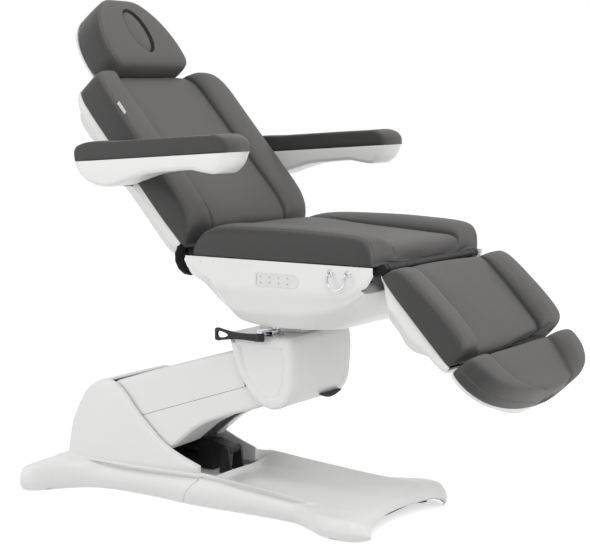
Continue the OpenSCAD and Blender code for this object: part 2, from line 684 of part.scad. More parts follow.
module lock_lever() color(black) at_carrier() translate([lever_x, -lever_y,
    clamp_z + tongue[0] - seat_gap - lever_boss_h])
    difference() {
    union() {
        cylinder(r = lever_boss_r, h = lever_boss_h - seat_gap, $fn = round_fn);
        translate([0, 0, lever_boss_h / 2 - over]) rotate([0, 180, 0]) plate(-lever_t / 2,
            lever_t / 2) difference() {
            polygon(sized(lever_shares, lever_l, lever_h));
            polygon(sized(hole_shares, lever_l, lever_h));
        }
    }
    translate([0, 0, -over]) cylinder(r = lever_pin_r + bore_fit, h = lever_boss_h + 2 * over,
        $fn = round_fn);
}

// Seat: frame, pan, cushion, keypad, hook and the three actuators under the cushion

frame_drop = 5;
frame_z1 = seat_z - frame_drop;
frame_h = 20;
frame_z0 = frame_z1 - frame_h;
pan_in = 2;
pan_half = pad_w / 2 - pan_in;
frame_y1 = pan_half - wall - seat_gap;
frame_t = 26;
frame_in = [54, 34];
frame_x0 = seat_rear + frame_in[0];
frame_x1 = seat_front - frame_in[1];
lug_y = 236;
lug_t = 10;
knuckle_r = 16;
hinge_eye_r = 11.5;
hinge_tube_r = 11;
elbow = 18;
hinge_pin_r = 8;
tilt_axis_z = block_z + tilt_z;
tilt_gap = 2;
tilt_lug_y = tilt_y + tilt_t + tilt_gap;
act_y = 120;
hinge_crank_r = 38;
act_fit_z = hinge_z - hinge_crank_r * (1 + cos((back_up + back_down) / 2)) / 2;
act_r = 14;
seat_rod_r = 7;
act_tube_l = 110;
act_rod_in = 60;
tilt_tube_l = 150;
tail_plate = 8;
tail_gap = 1;
back_tail_x = -18;
leg_tail_x = 34;
tilt_tail_x = 150;
module tail_bracket(x, z) mirrored()
    plate(gear_y + tail_gap, gear_y + tail_gap + tail_plate)
        tab([x, z], 2 * eye_pin_r, x - knuckle_r, x + knuckle_r, frame_z0 + over);
module seat_frame() color(black) table() difference() {
    union() {
        mirrored() {
            bar(frame_x0, frame_x1, frame_y1 - frame_t, frame_y1, frame_z0, frame_z1);
            for (p = [[frame_x0, back_hinge_x], [frame_x1, leg_hinge_x]])
                plate(lug_y, lug_y + lug_t) {
                    bend = [p[1] + sign(p[0] - p[1]) * elbow, (frame_z0 + frame_z1) / 2];
                    strap([p[1], hinge_z], bend, hinge_eye_r, frame_h / 2);
                    strap(bend, [p[0], bend[1]], frame_h / 2, frame_h / 2);
                }
            plate(tilt_lug_y, tilt_lug_y + tilt_t)
                tab([swivel_x, tilt_axis_z], tilt_r, swivel_x - tilt_r, swivel_x + tilt_r, frame_z0 + over);
        }
        for (x = [frame_x0, swivel_x, back_tail_x, leg_tail_x, tilt_tail_x, frame_x1 - frame_t])
            bar(x - tilt_r, x + tilt_r, -frame_y1 + over, frame_y1 - over, frame_z0, frame_z1);
        translate([0, act_y, 0]) tail_bracket(back_tail_x, act_fit_z);
        translate([0, -act_y, 0]) tail_bracket(leg_tail_x, act_fit_z);
        tail_bracket(tilt_tail_x, tilt_axis_z + tilt_crank);
        for (x = [back_hinge_x, leg_hinge_x])
            translate([x, 0, hinge_z]) rod_y(hinge_pin_r, -lug_y - lug_t, lug_y + lug_t);
    }
    translate([swivel_x, 0, tilt_axis_z]) rod_y(tilt_pin_r + bore_fit, -pad_w / 2, pad_w / 2);
    translate([back_tail_x, 0, act_fit_z]) rod_y(eye_pin_r + bore_fit, 0, pad_w / 2);
    translate([leg_tail_x, 0, act_fit_z]) rod_y(eye_pin_r + bore_fit, -pad_w / 2, 0);
    translate([tilt_tail_x, 0, tilt_axis_z + tilt_crank]) rod_y(eye_pin_r + bore_fit, -pad_w / 8, pad_w / 8);
}

// Actuator with its tail eye at the origin, reaching towards -x
module actuator(tube) {
    rod_y(eye_pin_r, -gear_y - tail_plate, gear_y + tail_plate);
    eye(2 * eye_pin_r, gear_l / 2 + over, act_r);
    difference() {
        rod_x(act_r, -gear_l / 2 - tube, -gear_l / 2);
        rod_x(seat_rod_r + slide_fit, -gear_l / 2 - tube - over, -gear_l / 2 - over);
    }
}
module back_actuator() color(black) table() translate([back_tail_x, act_y, act_fit_z]) actuator(act_tube_l);
module leg_actuator() color(black) table() translate([leg_tail_x, -act_y, act_fit_z]) mirror([1, 0,
    0]) actuator(act_tube_l);
module tilt_actuator() color(black) table()
    translate([tilt_tail_x, 0, tilt_axis_z + tilt_crank]) actuator(tilt_tube_l);
tilt_sag = 1;
hinge_sag = hinge_crank_r * (1 - cos((back_up + back_down) / 2)) / 2;
back_mid = (back_up - back_down) / 2;
leg_mid = (leg_up - leg_down) / 2;
function crank_x(rest) = hinge_crank_r * sin(rest);
module back_rod() color(chrome) table() translate([back_hinge_x + crank_x(back_mid), act_y, act_fit_z]) {
    yoke(tilt_crank_r, hinge_sag);
    rod_x(seat_rod_r, yoke_half - over, back_tail_x - back_hinge_x - crank_x(back_mid) - gear_l / 2 -
        act_tube_l + act_rod_in);
}
module leg_rod() color(chrome) table() translate([leg_hinge_x - crank_x(leg_mid), -act_y, act_fit_z]) {
    yoke(tilt_crank_r, hinge_sag);
    rod_x(seat_rod_r, leg_tail_x - leg_hinge_x + crank_x(leg_mid) + gear_l / 2 + act_tube_l - act_rod_in,
        -yoke_half + over);
}
module tilt_rod() color(chrome) table() translate([swivel_x, 0, tilt_axis_z + tilt_crank]) {
    yoke(tilt_crank_r, tilt_sag);
    rod_x(seat_rod_r, yoke_half - over, tilt_tail_x - swivel_x - gear_l / 2 - tilt_tube_l + act_rod_in);
}

// Pan stations: x from the seat's middle as a share of its length, then shares of its half width
// and depth: the crease's half width and depth, and the keel's half width and depth
pan_shares = [
    [-0.55, 0.985, 0.10, 0.985, 0.10], [-0.515, 1, 0.24, 0.95, 0.26], [-0.487, 0.99, 0.29, 0.9, 0.34],
    [-0.452, 0.96, 0.33, 0.84, 0.50], [-0.418, 0.93, 0.385, 0.78, 0.66], [-0.38, 0.92, 0.52, 0.72, 0.80],
    [-0.33, 0.91, 0.66, 0.68, 0.93], [-0.25, 0.9, 0.7, 0.65, 0.985], [-0.1, 0.9, 0.71, 0.64, 1],
    [0.05, 0.9, 0.7, 0.63, 0.985], [0.17, 0.9, 0.655, 0.6, 0.955], [0.25, 0.91, 0.6, 0.58, 0.88],
    [0.32, 0.92, 0.54, 0.58, 0.77], [0.37, 0.94, 0.48, 0.6, 0.63], [0.42, 0.96, 0.38, 0.66, 0.47],
    [0.46, 0.98, 0.27, 0.8, 0.31], [0.5, 0.99, 0.1, 0.985, 0.1]
];
waist_share = 0.36;
function pan_half_row(w, cw, cz, kw, kz) = let (band = min(waist_share, cz * 0.7) * pan_depth) [
    [-w, 0], [-w, -band * 0.5], [-w, -band], [-w * (0.35 + 0.65 * cw), -(band + 2 * cz * pan_depth) / 3],
    [-w * cw, -cz * pan_depth], [-w * (cw * 0.6 + kw * 0.4), -(cz * 0.55 + kz * 0.45) * pan_depth],
    [-w * kw, -kz * pan_depth * 0.975], [-w * kw * 0.7, -kz * pan_depth], [0, -kz * pan_depth]
];
function pan_row(s, thin) = let (
    ends = [seat_l * pan_shares[0][0] + thin, seat_l * pan_shares[len(pan_shares) - 1][0] - thin],
    d = (pan_depth - thin) / pan_depth,
    half = pan_half_row(pan_half - thin, s[1], s[2] * d, s[3], s[4] * d))
    [for (p = both_sides(half)) [min(max(s[0] * seat_l, ends[0]), ends[1]), p[0], p[1] + seat_z]];
crank_gap = 17;
hinge_crank_t = 6;
crank_out = crank_gap + hinge_crank_t;
shroud_r = 47;
slot_fit_n = 3;
shroud_fit = 2.5;
pan_cut_back = shroud_r + shroud_fit;
pan_cut_leg = 64;
keel_fit = [16, 10];
keel_hole = [block_l, block_w] + keel_fit;
key_w = 132;
key_h = 36;
key_t = 6;
key_x = -8;
key_drop = 47;
key_z = seat_z - key_drop;
key_lip = 3;
module seat_pan() color(white) table() difference() {
    moulded([for (s = pan_shares) pan_row(s, 0)], [for (s = pan_shares) pan_row(s, wall)]);
    translate([back_hinge_x, 0, hinge_z]) rod_y(pan_cut_back, -pan_half + wall + tail_gap,
        pan_half - wall - tail_gap);
    translate([leg_hinge_x, 0, hinge_z]) rod_y(pan_cut_leg, -pan_half + wall + tail_gap,
        pan_half - wall - tail_gap);
    bar(back_hinge_x, back_hinge_x + 3 * yoke_half, act_y - crank_out - slot_fit_n,
        act_y + crank_out + slot_fit_n,
        act_fit_z - 2 * yoke_half, act_fit_z);
    bar(swivel_x - keel_hole[0] / 2, swivel_x + keel_hole[0] / 2, -keel_hole[1] / 2, keel_hole[1] / 2,
        keel_z - pan_depth / 2, keel_z + pan_depth / 4);
    bar(key_x - key_w / 2 + key_lip, key_x + key_w / 2 - key_lip, -pad_w, -pan_half + 2 * wall,
        key_z - key_h / 2 + key_lip, key_z + key_h / 2 - key_lip);
}

// Cushion across a station: the bolster's side, the sewn channel and the middle panel
bolster_shares = [[0.955, 0], [0.985, 0.1], [1, 0.34], [0.995, 0.62], [0.965, 0.85], [0.9, 0.97], [0.8, 1]];
channel = 7;
function cushion_half(w, t, c) = let (s = min(seam_w / 2, w * 0.6), g = min(channel, c / 3)) concat(
    [for (q = bolster_shares) [-q[0] * w, q[1] * t]],
    [[-s - channel, (t + 2 * c) / 3], [-s, c - g], [-s + channel, c], [-s / 2, c + g / 3], [0, c + g / 2]]);
// Stations hold shares of the length, half width, bolster height and middle height
module cushion(stations, l, w, t) loft([
    for (s = stations) [for (p = both_sides(cushion_half(s[1] * w / 2, s[2] * t, s[3] * t))) [s[0] * l,
        p[0], p[1]]]
]);

seat_shares = [
    [0, 0.955, 0.04, 0.035], [0.011, 0.972, 0.36, 0.34], [0.063, 0.99, 0.74, 0.68], [0.143, 1, 0.93, 0.82],
    [0.27, 1, 0.99, 0.8], [0.42, 1, 1, 0.72], [0.58, 1, 1, 0.65], [0.757, 1, 0.96, 0.59], [0.89, 1, 0.91,
        0.55],
    [0.95, 0.995, 0.84, 0.52], [0.985, 0.98, 0.68, 0.45], [1, 0.955, 0.48, 0.35], [0.998, 0.95, 0.03, 0.025]
];
module seat_cushion() color(leather) table()
    translate([seat_rear, 0, seat_z + seat_gap]) cushion(seat_shares, seat_l, pad_w, seat_t);

key_cols = 4;
key_pitch = 27;
key_row = 15;
key_r = 3.2;
key_travel = 1;
key_fit = 0.08;
key_out = 2;
key_deep = 5;
function key_at(i) = [key_x - key_w * 0.06 + (floor(i / 2) - (key_cols - 1) / 2) * key_pitch,
    key_z + (i % 2 == 0 ? 0.5 : -0.5) * key_row];
module keypad() color(white) table() difference() {
    union() {
        plate(-pan_half - key_out, -pan_half) {
            translate([key_x - key_w / 2, key_z - key_h / 2]) square([key_w - key_h / 2, key_h]);
            translate([key_x + (key_w - key_h) / 2, key_z]) circle(r = key_h / 2, $fn = round_fn);
        }
        bar(key_x - key_w / 2 + key_lip + seat_gap, key_x + key_w / 2 - key_h / 3, -pan_half,
            -pan_half + key_t,
            key_z - key_h / 2 + key_lip + seat_gap, key_z + key_h / 2 - key_lip - seat_gap);
    }
    for (i = [0:2 * key_cols - 1])
        translate([key_at(i)[0], 0, key_at(i)[1]]) rod_y(key_r + key_fit, -pan_half - 2 * key_out,
            -pan_half + key_deep);
}
module button(i) color(white) table()
    translate([key_at(i)[0], 0, key_at(i)[1]])
        rod_y(key_r, -pan_half - key_out - key_travel * 0.6, -pan_half + key_deep - key_travel - seat_gap);
module button_1() button(0);
module button_2() button(1);
module button_3() button(2);
module button_4() button(3);
module button_5() button(4);
module button_6() button(5);
module button_7() button(6);
module button_8() button(7);

hook_x = 174;
hook_half = 25;
hook_r = 3;
hook_out = 16;
hook_under = 19;
hook_top = seat_z - hook_under;
hook_drop = 14;
module towel_hook() color(chrome) table() translate([hook_x, -pan_half, hook_top]) {
    for (s = [-1, 1]) {
        translate([s * hook_half, 0, 0]) rod_y(hook_r, -hook_out, 0);
        translate([s * hook_half, 0, 0]) rod_y(3 * hook_r, -hook_r, 0);
        translate([s * hook_half, -hook_out, 0]) sphere(r = hook_r, $fn = round_fn);
        translate([s * hook_half, -hook_out, -hook_drop]) cylinder(r = hook_r, h = hook_drop, $fn = round_fn);
    }
    translate([0, -hook_out, -hook_drop]) rotate([90, 0, 0]) rotate([0, 0, 180])
        rotate_extrude(angle = 180, $fn = round_fn) translate([hook_half, 0]) circle(r = hook_r,
            $fn = round_fn);
}

// Back: frame, shell, cushion and the drum that hides its hinge. Its frame runs to -x from the hinge

rail_half = 12;
rail_n0 = -28;
rail_n1 = 0;
side_rail_y = 220;
back_start = 30;
back_end = back_start + back_l;
back_crank = -90 + back_mid + back_rise;
leg_crank = -90 - leg_mid + leg_drop;
slide_w = 120;
slide_n1 = rail_n0 - 2 * slide_fit;
slide_t = 12;
guide_t = 4;
arm_pin = [-275, 5];
arm_pin_r = 9;
arm_pin_in = 11;
bracket_in = 4;
bracket_gap = 8;
bracket_y = pad_w / 2 + bracket_gap;
arm_pin_l = arm_span / 2 - rest_w + arm_pin_in - bracket_y;
bracket_t = 10;
module section_frame(dir, l, crank, side, braces) {
    mirrored() {
        plate(side_rail_y - rail_half, side_rail_y + rail_half)
            strap([0, 0], [dir * elbow, (rail_n0 + rail_n1) / 2], hinge_eye_r, rail_half);
        bar(min(dir * elbow, dir * l), max(dir * elbow, dir * l), side_rail_y - rail_half,
            side_rail_y + rail_half,
            rail_n0, rail_n1);
    }
    rod_y(hinge_tube_r, -side_rail_y, side_rail_y);
    for (x = braces)
        bar(dir * x - rail_half, dir * x + rail_half, -side_rail_y, side_rail_y, rail_n0, rail_n1);
    translate([0, side * act_y, 0]) {
        mirrored() plate(crank_gap, crank_gap + hinge_crank_t)
            strap([0, 0], hinge_crank_r * [cos(crank), sin(crank)], hinge_eye_r, hinge_eye_r);
        translate([hinge_crank_r * cos(crank), 0, hinge_crank_r * sin(crank)])
            rod_y(tilt_crank_r, -crank_gap - over, crank_gap + over);
    }
}
// Guide that holds a sliding bar under the braces
module guide(x0, x1, y0, y1) difference() {
    bar(x0, x1, y0 - guide_t - slide_fit, y1 + guide_t + slide_fit,
        slide_n1 - slide_t - slide_fit - guide_t, rail_n0 + over);
    bar(x0 - over, x1 + over, y0 - slide_fit, y1 + slide_fit, slide_n1 - slide_t - slide_fit, rail_n0);
}
back_braces = [110, 240, 400, 540];
module back_frame() color(black) at_back() difference() {
    union() {
        section_frame(-1, back_l, back_crank, 1, back_braces);
        for (i = [2, 3]) translate([-back_braces[i], 0, 0]) guide(-rail_half, rail_half, -slide_w / 2,
            slide_w / 2);
        mirrored() {
            bar(arm_pin[0] - rail_half, arm_pin[0] + rail_half, side_rail_y, bracket_y + bracket_t,
                rail_n0 + bracket_in, rail_n1 - bracket_in);
            plate(bracket_y, bracket_y + bracket_t)
                tab(arm_pin, 2 * arm_pin_r, arm_pin[0] - rail_half, arm_pin[0] + rail_half,
                    rail_n0 + bracket_in);
            translate([arm_pin[0], 0, arm_pin[1]]) rod_y(arm_pin_r, bracket_y, bracket_y + arm_pin_l);
        }
    }
    rod_y(hinge_pin_r + bore_fit, -pad_w, pad_w);
}

// Moulded tray under a cushion. Stations hold shares of the length, half width and depth
tray_lean = 2;
tray_least = 1;
function tray_half(w, d, box) = [
    [-w, 0], [-w + tray_lean, -d * 0.3], [-w * 0.965, -d * 0.42], [-w * (0.5 + box / 2), -d * 0.46],
    [-w * (box + 0.03), -d * 0.52], [-w * box, -d * 0.85], [-w * (box - 0.06), -d], [0, -d]
];
module tray(stations, l, w, d, box) {
    rows = len(stations);
    x0 = min(stations[0][0], stations[rows - 1][0]) * l;
    x1 = max(stations[0][0], stations[rows - 1][0]) * l;
    moulded(
        [for (s = stations) [for (p = both_sides(tray_half(s[1] * w / 2, s[2] * d, box))) [s[0] * l,
            p[0], p[1]]]],
        [for (s = stations) [for (p = both_sides(tray_half(s[1] * w / 2 - wall, max(s[2] * d - wall,
            tray_least), box)))
            [min(max(s[0] * l, x0 + wall), x1 - wall), p[0], p[1]]]]);
}
back_tray_shares = [
    [-0.06, 0.95, 0.7], [-0.14, 0.96, 0.95], [-0.3, 0.965, 0.96], [-0.5, 0.965, 0.97], [-0.7, 0.965, 1],
    [-0.86, 0.965, 1.02], [-0.95, 0.955, 0.98], [-0.985, 0.94, 0.8], [-1.015, 0.92, 0.5], [-1.03, 0.9,
        0.2], [-1.032, 0.88, 0.12]
];
back_tray_d = 76;
tray_end = 8;
tray_box_share = 0.86;
module back_shell() color(white) at_back() difference() {
    tray(back_tray_shares, back_l, pad_w, back_tray_d, tray_box_share);
    rod_y(shroud_r + seat_gap, -pad_w, pad_w);
    mirrored() bar(arm_pin[0] - rail_half - slot_fit_n, arm_pin[0] + rail_half + slot_fit_n, pad_w * 0.4,
        pad_w,
        rail_n0 + bracket_in - slot_fit_n, over);
    bar(-2 * back_l, -back_l, -slide_w / 2 - slot_fit_n, slide_w / 2 + slot_fit_n,
        slide_n1 - slide_t - slot_fit_n, slide_n1 + slot_fit_n);
    plate(-pad_w, pad_w) translate([-back_start + tray_end, -over]) square([pad_w, pad_w]);
    mirrored() bar(-shroud_r - 2 * rail_half, 0, side_rail_y - rail_half - slot_fit_n,
        lug_y + lug_t + slot_fit_n,
        rail_n0 - slot_fit_n, over);
}

back_shares = [
    [0, 0.93, 0.05, 0.05], [0.02, 0.955, 0.3, 0.26], [0.06, 0.975, 0.62, 0.5], [0.11, 0.99, 0.82, 0.62],
    [0.19, 1, 0.93, 0.68], [0.36, 1, 0.96, 0.68], [0.55, 1, 0.97, 0.68], [0.74, 1, 0.98, 0.68],
    [0.86, 0.99, 1.0, 0.67], [0.92, 0.965, 1.0, 0.66], [0.962, 0.92, 0.97, 0.64], [0.988, 0.85, 0.88, 0.58],
    [1, 0.78, 0.68, 0.46], [1.002, 0.75, 0.1, 0.08]
];
module back_cushion() color(leather) at_back() translate([-back_start, 0, seat_gap])
    cushion([for (s = back_shares) [-s[0], s[1], s[2], s[3]]], back_l, pad_w, back_t);

// Drum round the back hinge, from behind the seat to under it, left open where the hinge passes
shroud_w = 286;
shroud_from = 142;
shroud_to = 276;
shroud_t = 4;
pleats = 7;
module hinge_shroud() color(black) at_back() difference() {
    plate(-shroud_w, shroud_w) difference() {
        polygon(concat(
            [for (i = [0:2 * pleats]) let (a = shroud_from + back_rise + (shroud_to - shroud_from) * i /
                (2 * pleats))
                (shroud_r - (i % 2) * shroud_t / 3) * [cos(a), sin(a)]],
            [for (i = [2 * pleats:-1:0]) let (a = shroud_from + back_rise + (shroud_to - shroud_from) * i
                / (2 * pleats))
                (shroud_r - shroud_t) * [cos(a), sin(a)]]));
    }
    mirrored() bar(-2 * shroud_r, 2 * shroud_r, side_rail_y - rail_half - seat_gap,
        lug_y + lug_t + slot_fit_n,
        -2 * shroud_r, 2 * shroud_r);
    bar(-2 * shroud_r, 2 * shroud_r, act_y - gear_y - slot_fit_n, act_y + gear_y + slot_fit_n,
        -2 * shroud_r, 2 * shroud_r);
}

// Armrests turn on the pins beside the back. Their frame starts at the pad's rear end
rest_origin = [-82, 45];
rest_shell_shares = [
    [0, 0], [0.013, -0.33], [0.057, -0.7], [0.125, -0.94], [0.205, -1], [0.285, -0.85], [0.423, -0.61],
        [0.575, -0.555],
    [0.667, -0.55], [0.734, -0.66], [0.817, -0.73], [0.889, -0.7], [0.963, -0.45], [1, 0]
];
rest_pad_shares = [
    [0, 0], [-0.002, 0.5], [0.01, 0.8], [0.048, 0.98], [0.25, 1], [0.53, 1], [0.8, 0.97], [0.94, 0.92],
        [0.985, 0.7],
    [1.002, 0.4], [1.002, 0]
];
rest_shell_h = 69;
rest_pad_h = 46;
rest_edge_r = 9;
rest_edge_shares = [[-1, 1], [-0.985, 0.39], [-0.94, 0.09], [-0.85, 0], [0.85, 0], [0.94, 0.09], [0.985,
    0.39], [1, 1]];
rest_mid_y = (arm_span - rest_w) / 2;
arm_pin_world = [arm_pin[0] * cos(back_rise) + arm_pin[1] * sin(back_rise),
    -arm_pin[0] * sin(back_rise) + arm_pin[1] * cos(back_rise)];
module at_rest() table() translate([back_hinge_x + arm_pin_world[0], 0, hinge_z + arm_pin_world[1]])
    rotate([0, -rest_rise, 0]) children();
module rest_shell() difference() {
    ring = reversed(sized(rest_shell_shares, rest_l, rest_shell_h));
    translate([rest_origin[0], rest_mid_y, rest_origin[1]])
        slab(ring, rest_w / 2, rest_edge_r);
    rod_y(arm_pin_r + bore_fit, 0, bracket_y + arm_pin_l + over);
}
module rest_pad() translate([rest_origin[0], rest_mid_y, rest_origin[1] + seat_gap]) {
    ring = sized(rest_pad_shares, rest_l, rest_pad_h);
    loft([for (e = rest_edge_shares) at_y([for (p = inset(ring, e[1] * rest_edge_r)) [p[0], max(p[1],
        0)]], e[0] * rest_w / 2)]);
}
module far_armrest() color(white) at_rest() rest_shell();
module far_arm_pad() color(leather) at_rest() rest_pad();
module near_armrest() color(white) at_rest() mirror([0, 1, 0]) rest_shell();
module near_arm_pad() color(leather) at_rest() mirror([0, 1, 0]) rest_pad();

// Head rest: a bar slides in the back, and the head rest tilts on its end
head_gap = 1.5;
head_x = back_end + head_gap + head_t * sin(head_lean);
head_n = -8;
head_shell_d = 24;
head_hinge_out = 16;
head_hinge_under = 6;
head_eye_r = 13;
head_strap_in = 8;
face_lip = 16;
head_hinge = [-head_x - head_hinge_out, slide_n1 - slide_t / 2 - head_hinge_under];
slide_inner = 300;
head_hinge_y = 34;
module head_slide() color(steel) at_back() difference() {
    union() {
        bar(head_hinge[0] + knuckle_r, -slide_inner, -slide_w / 2, slide_w / 2, slide_n1 - slide_t, slide_n1);
        mirrored() plate(head_hinge_y, head_hinge_y + lug_t)
            strap(head_hinge, [head_hinge[0] + knuckle_r + slide_t, slide_n1 - slide_t / 2], head_eye_r,
                slide_t / 2);
        translate([head_hinge[0], 0, head_hinge[1]]) rod_y(eye_pin_r, -head_hinge_y - lug_t,
            head_hinge_y + lug_t);
    }
}
module at_head() at_back() translate([-head_x, 0, head_n]) rotate([0, head_lean, 0]) children();
face_x = -0.5 * head_l;
face_fn = 40;
face_fit = 1;
function oval(l, w) = [for (i = [0:face_fn - 1]) [l / 2 * cos(360 * i / face_fn),
    w / 2 * sin(360 * i / face_fn)]];
head_tray_shares = [
    [-0.02, 0.6, 0.3], [-0.05, 0.78, 0.75], [-0.12, 0.88, 1], [-0.3, 0.93, 1], [-0.5, 0.9, 1], [-0.7,
        0.78, 1],
    [-0.85, 0.6, 0.95], [-0.94, 0.42, 0.75], [-0.99, 0.24, 0.4], [-1.0, 0.14, 0.2]
];
module head_shell() color(white) union() {
    at_head() difference() {
        tray(head_tray_shares, head_l, head_w, head_shell_d, 0.8);
        translate([face_x, 0, -head_shell_d * 2]) linear_extrude(head_shell_d * 3) polygon(oval(face_l -
            face_lip, face_w - face_lip));
    }
    at_back() difference() {
        mirrored() plate(head_hinge_y - lug_t - seat_gap, head_hinge_y - seat_gap)
            strap(head_hinge, [-head_x - head_l * 0.22, head_n - head_shell_d + head_strap_in],
                head_eye_r, knuckle_r);
        translate([head_hinge[0], 0, head_hinge[1]]) rod_y(eye_pin_r + bore_fit, -pad_w, pad_w);
    }
}
dome_shares = [[0.9, 0], [0.95, 0.08], [0.99, 0.3], [1, 0.6], [0.97, 0.82], [0.9, 0.94], [0.75, 0.99],
    [0.4, 1], [0, 1]];
head_shares = [
    [0, 0.68, 0.05], [0.004, 0.76, 0.5], [0.02, 0.84, 0.86], [0.07, 0.94, 0.97], [0.16, 0.995, 1], [0.28,
        1, 1],
    [0.42, 0.975, 1], [0.56, 0.91, 1], [0.7, 0.8, 1], [0.82, 0.655, 0.99], [0.91, 0.5, 0.97], [0.965,
        0.34, 0.9],
    [0.99, 0.2, 0.72], [1, 0.14, 0.4], [0.995, 0.12, 0.1]
];
module head_cushion() color(leather) at_head() difference() {
    loft([for (s = head_shares) [for (p = both_sides([for (q = dome_shares) [-q[0] * s[1] * head_w / 2,
        q[1] * s[2] * head_t]]))
        [-s[0] * head_l, p[0], p[1] + seat_gap]]]);
    translate([face_x, 0, -over]) linear_extrude(2 * head_t) polygon(oval(face_l, face_w));
}
plug_low = 8;
plug_edge = 24;
plug_shares = [[0, 0.167], [0.05, 0.042], [0.1, 0], [0.86, 0], [0.93, 0.125], [0.975, 0.417], [1, 1]];
module face_plug() color(leather) at_head() translate([face_x, 0, seat_gap])
    loft([for (e = plug_shares) let (d = 2 * (face_fit + e[1] * plug_edge))
        [for (p = oval(face_l - d, face_w - d)) [p[0], p[1], e[0] * (head_t - plug_low)]]]);

// Leg rest and the foot rest that slides out of it

leg_rail_in = 40;
leg_rail_end = foot_x - leg_rail_in;
foot_rail_y = 70;
foot_rail_w = 26;
leg_braces = [70, 195, leg_rail_end];
module leg_frame() color(black) at_leg() difference() {
    union() {
        section_frame(1, leg_rail_end, leg_crank, -1, leg_braces);
        mirrored() for (i = [1, 2]) translate([leg_braces[i], 0, 0])
            guide(-rail_half, rail_half, foot_rail_y - foot_rail_w / 2, foot_rail_y + foot_rail_w / 2);
    }
    rod_y(hinge_pin_r + bore_fit, -pad_w, pad_w);
}
leg_tray_shares = [
    [0.14, 0.93, 0.24], [0.15, 0.935, 0.34], [0.2, 0.95, 0.53], [0.26, 0.955, 0.77], [0.32, 0.96, 0.98],
        [0.36, 0.96, 1],
    [0.5, 0.96, 1.01], [0.61, 0.96, 1.05], [0.7, 0.96, 1], [0.77, 0.96, 0.86], [0.84, 0.96, 0.74], [0.98,
        0.96, 0.7], [1.05, 0.955, 0.6], [1.085, 0.95, 0.4], [1.095, 0.945, 0.3]
];
leg_tray_d = 97;
module leg_shell() color(white) at_leg() difference() {
    tray(leg_tray_shares, leg_l, pad_w, leg_tray_d, 0.72);
    mirrored() bar(leg_l * 0.9, leg_l * 1.5, foot_rail_y - foot_rail_w / 2 - slot_fit_n,
        foot_rail_y + foot_rail_w / 2 + slot_fit_n,
        slide_n1 - slide_t - slot_fit_n, slide_n1 + slot_fit_n);
    bar(0, leg_gap + 2 * yoke_half, -act_y - yoke_y - slot_fit_n, -act_y + yoke_y + slot_fit_n,
        -leg_tray_d, over);
    mirrored() bar(0, leg_l * 0.4, side_rail_y - rail_half - slot_fit_n,
        side_rail_y + rail_half + slot_fit_n, -leg_tray_d * 0.5, over);
}
leg_shares = [
    [0, 0.94, 0.05, 0.05], [0.012, 0.955, 0.35, 0.3], [0.05, 0.975, 0.64, 0.46], [0.12, 0.99, 0.78, 0.54],
    [0.25, 1, 0.87, 0.58], [0.45, 1, 0.94, 0.6], [0.65, 1, 0.99, 0.6], [0.82, 0.995, 1, 0.59], [0.92,
        0.985, 0.95, 0.56],
    [0.975, 0.965, 0.8, 0.48], [1, 0.94, 0.5, 0.34], [0.998, 0.935, 0.04, 0.04]
];
module leg_cushion() color(leather) at_leg() translate([leg_gap, 0, seat_gap]) cushion(leg_shares, leg_l,
    pad_w, leg_t);

foot_rail_in = 60;
module foot_rails() color(steel) at_leg() {
    mirrored() bar(foot_rail_in, foot_x + foot_rail_y, foot_rail_y - foot_rail_w / 2,
        foot_rail_y + foot_rail_w / 2,
        slide_n1 - slide_t, slide_n1);
}
foot_tray_d = -slide_n1 - seat_gap;
foot_plan_shares = [
    [0, 0.955, 0.55, 0.4], [0.02, 0.97, 0.82, 0.6], [0.1, 0.985, 0.94, 0.66], [0.25, 0.975, 0.98, 0.66],
    [0.42, 0.94, 1, 0.66], [0.58, 0.87, 1, 0.68], [0.72, 0.77, 1, 0.72], [0.83, 0.64, 0.99, 0.8], [0.91,
        0.5, 0.96, 0.86],
    [0.96, 0.36, 0.88, 0.84], [0.99, 0.22, 0.72, 0.7], [1, 0.12, 0.4, 0.38], [0.995, 0.08, 0.05, 0.04]
];
foot_tray_shares = [0.25, 1, 1, 1, 1, 1, 1, 1, 1, 1, 0.5, 0.25];
module foot_shell() color(white) at_leg() translate([foot_x, 0, 0])
    tray([for (i = [0:11]) [foot_plan_shares[i][0], foot_plan_shares[i][1] * 0.985, foot_tray_shares[i]]],
        foot_l, pad_w, foot_tray_d, 0.8);
module foot_cushion() color(leather) at_leg() translate([foot_x, 0, seat_gap]) cushion(foot_plan_shares,
    foot_l, pad_w, foot_t);

base_chassis();
front_base_cover();
rear_base_cover();
levelling_feet();
control_box();
lift_arm_frame();
arm_upper_cover();
arm_lower_cover();
parallel_link();
lift_pins();
lift_actuator();
lift_rod();
carrier_frame();
carrier_cover();
carrier_near_cap();
carrier_far_cap();
carrier_bumper();
carrier_pins();
turntable();
lever_clamp();
lock_lever();
seat_frame();
seat_pan();
seat_cushion();
keypad();
towel_hook();
tilt_actuator();
tilt_rod();
back_actuator();
back_rod();
leg_actuator();
leg_rod();
button_1();
button_2();
button_3();
button_4();
button_5();
button_6();
button_7();
button_8();
back_frame();
back_shell();
back_cushion();
hinge_shroud();
near_armrest();
near_arm_pad();
far_armrest();
far_arm_pad();
head_slide();
head_shell();
head_cushion();
face_plug();
leg_frame();
leg_shell();
leg_cushion();
foot_rails();
foot_shell();
foot_cushion();
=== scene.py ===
"""Looks of an electric spa treatment table: upholstery, moulded covers, fittings and its studio.

Every length in the tables is in millimetres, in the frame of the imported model. Meshes are made in metres.
"""
import math

import bpy
import numpy as np
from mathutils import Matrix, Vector
from mathutils.bvhtree import BVHTree


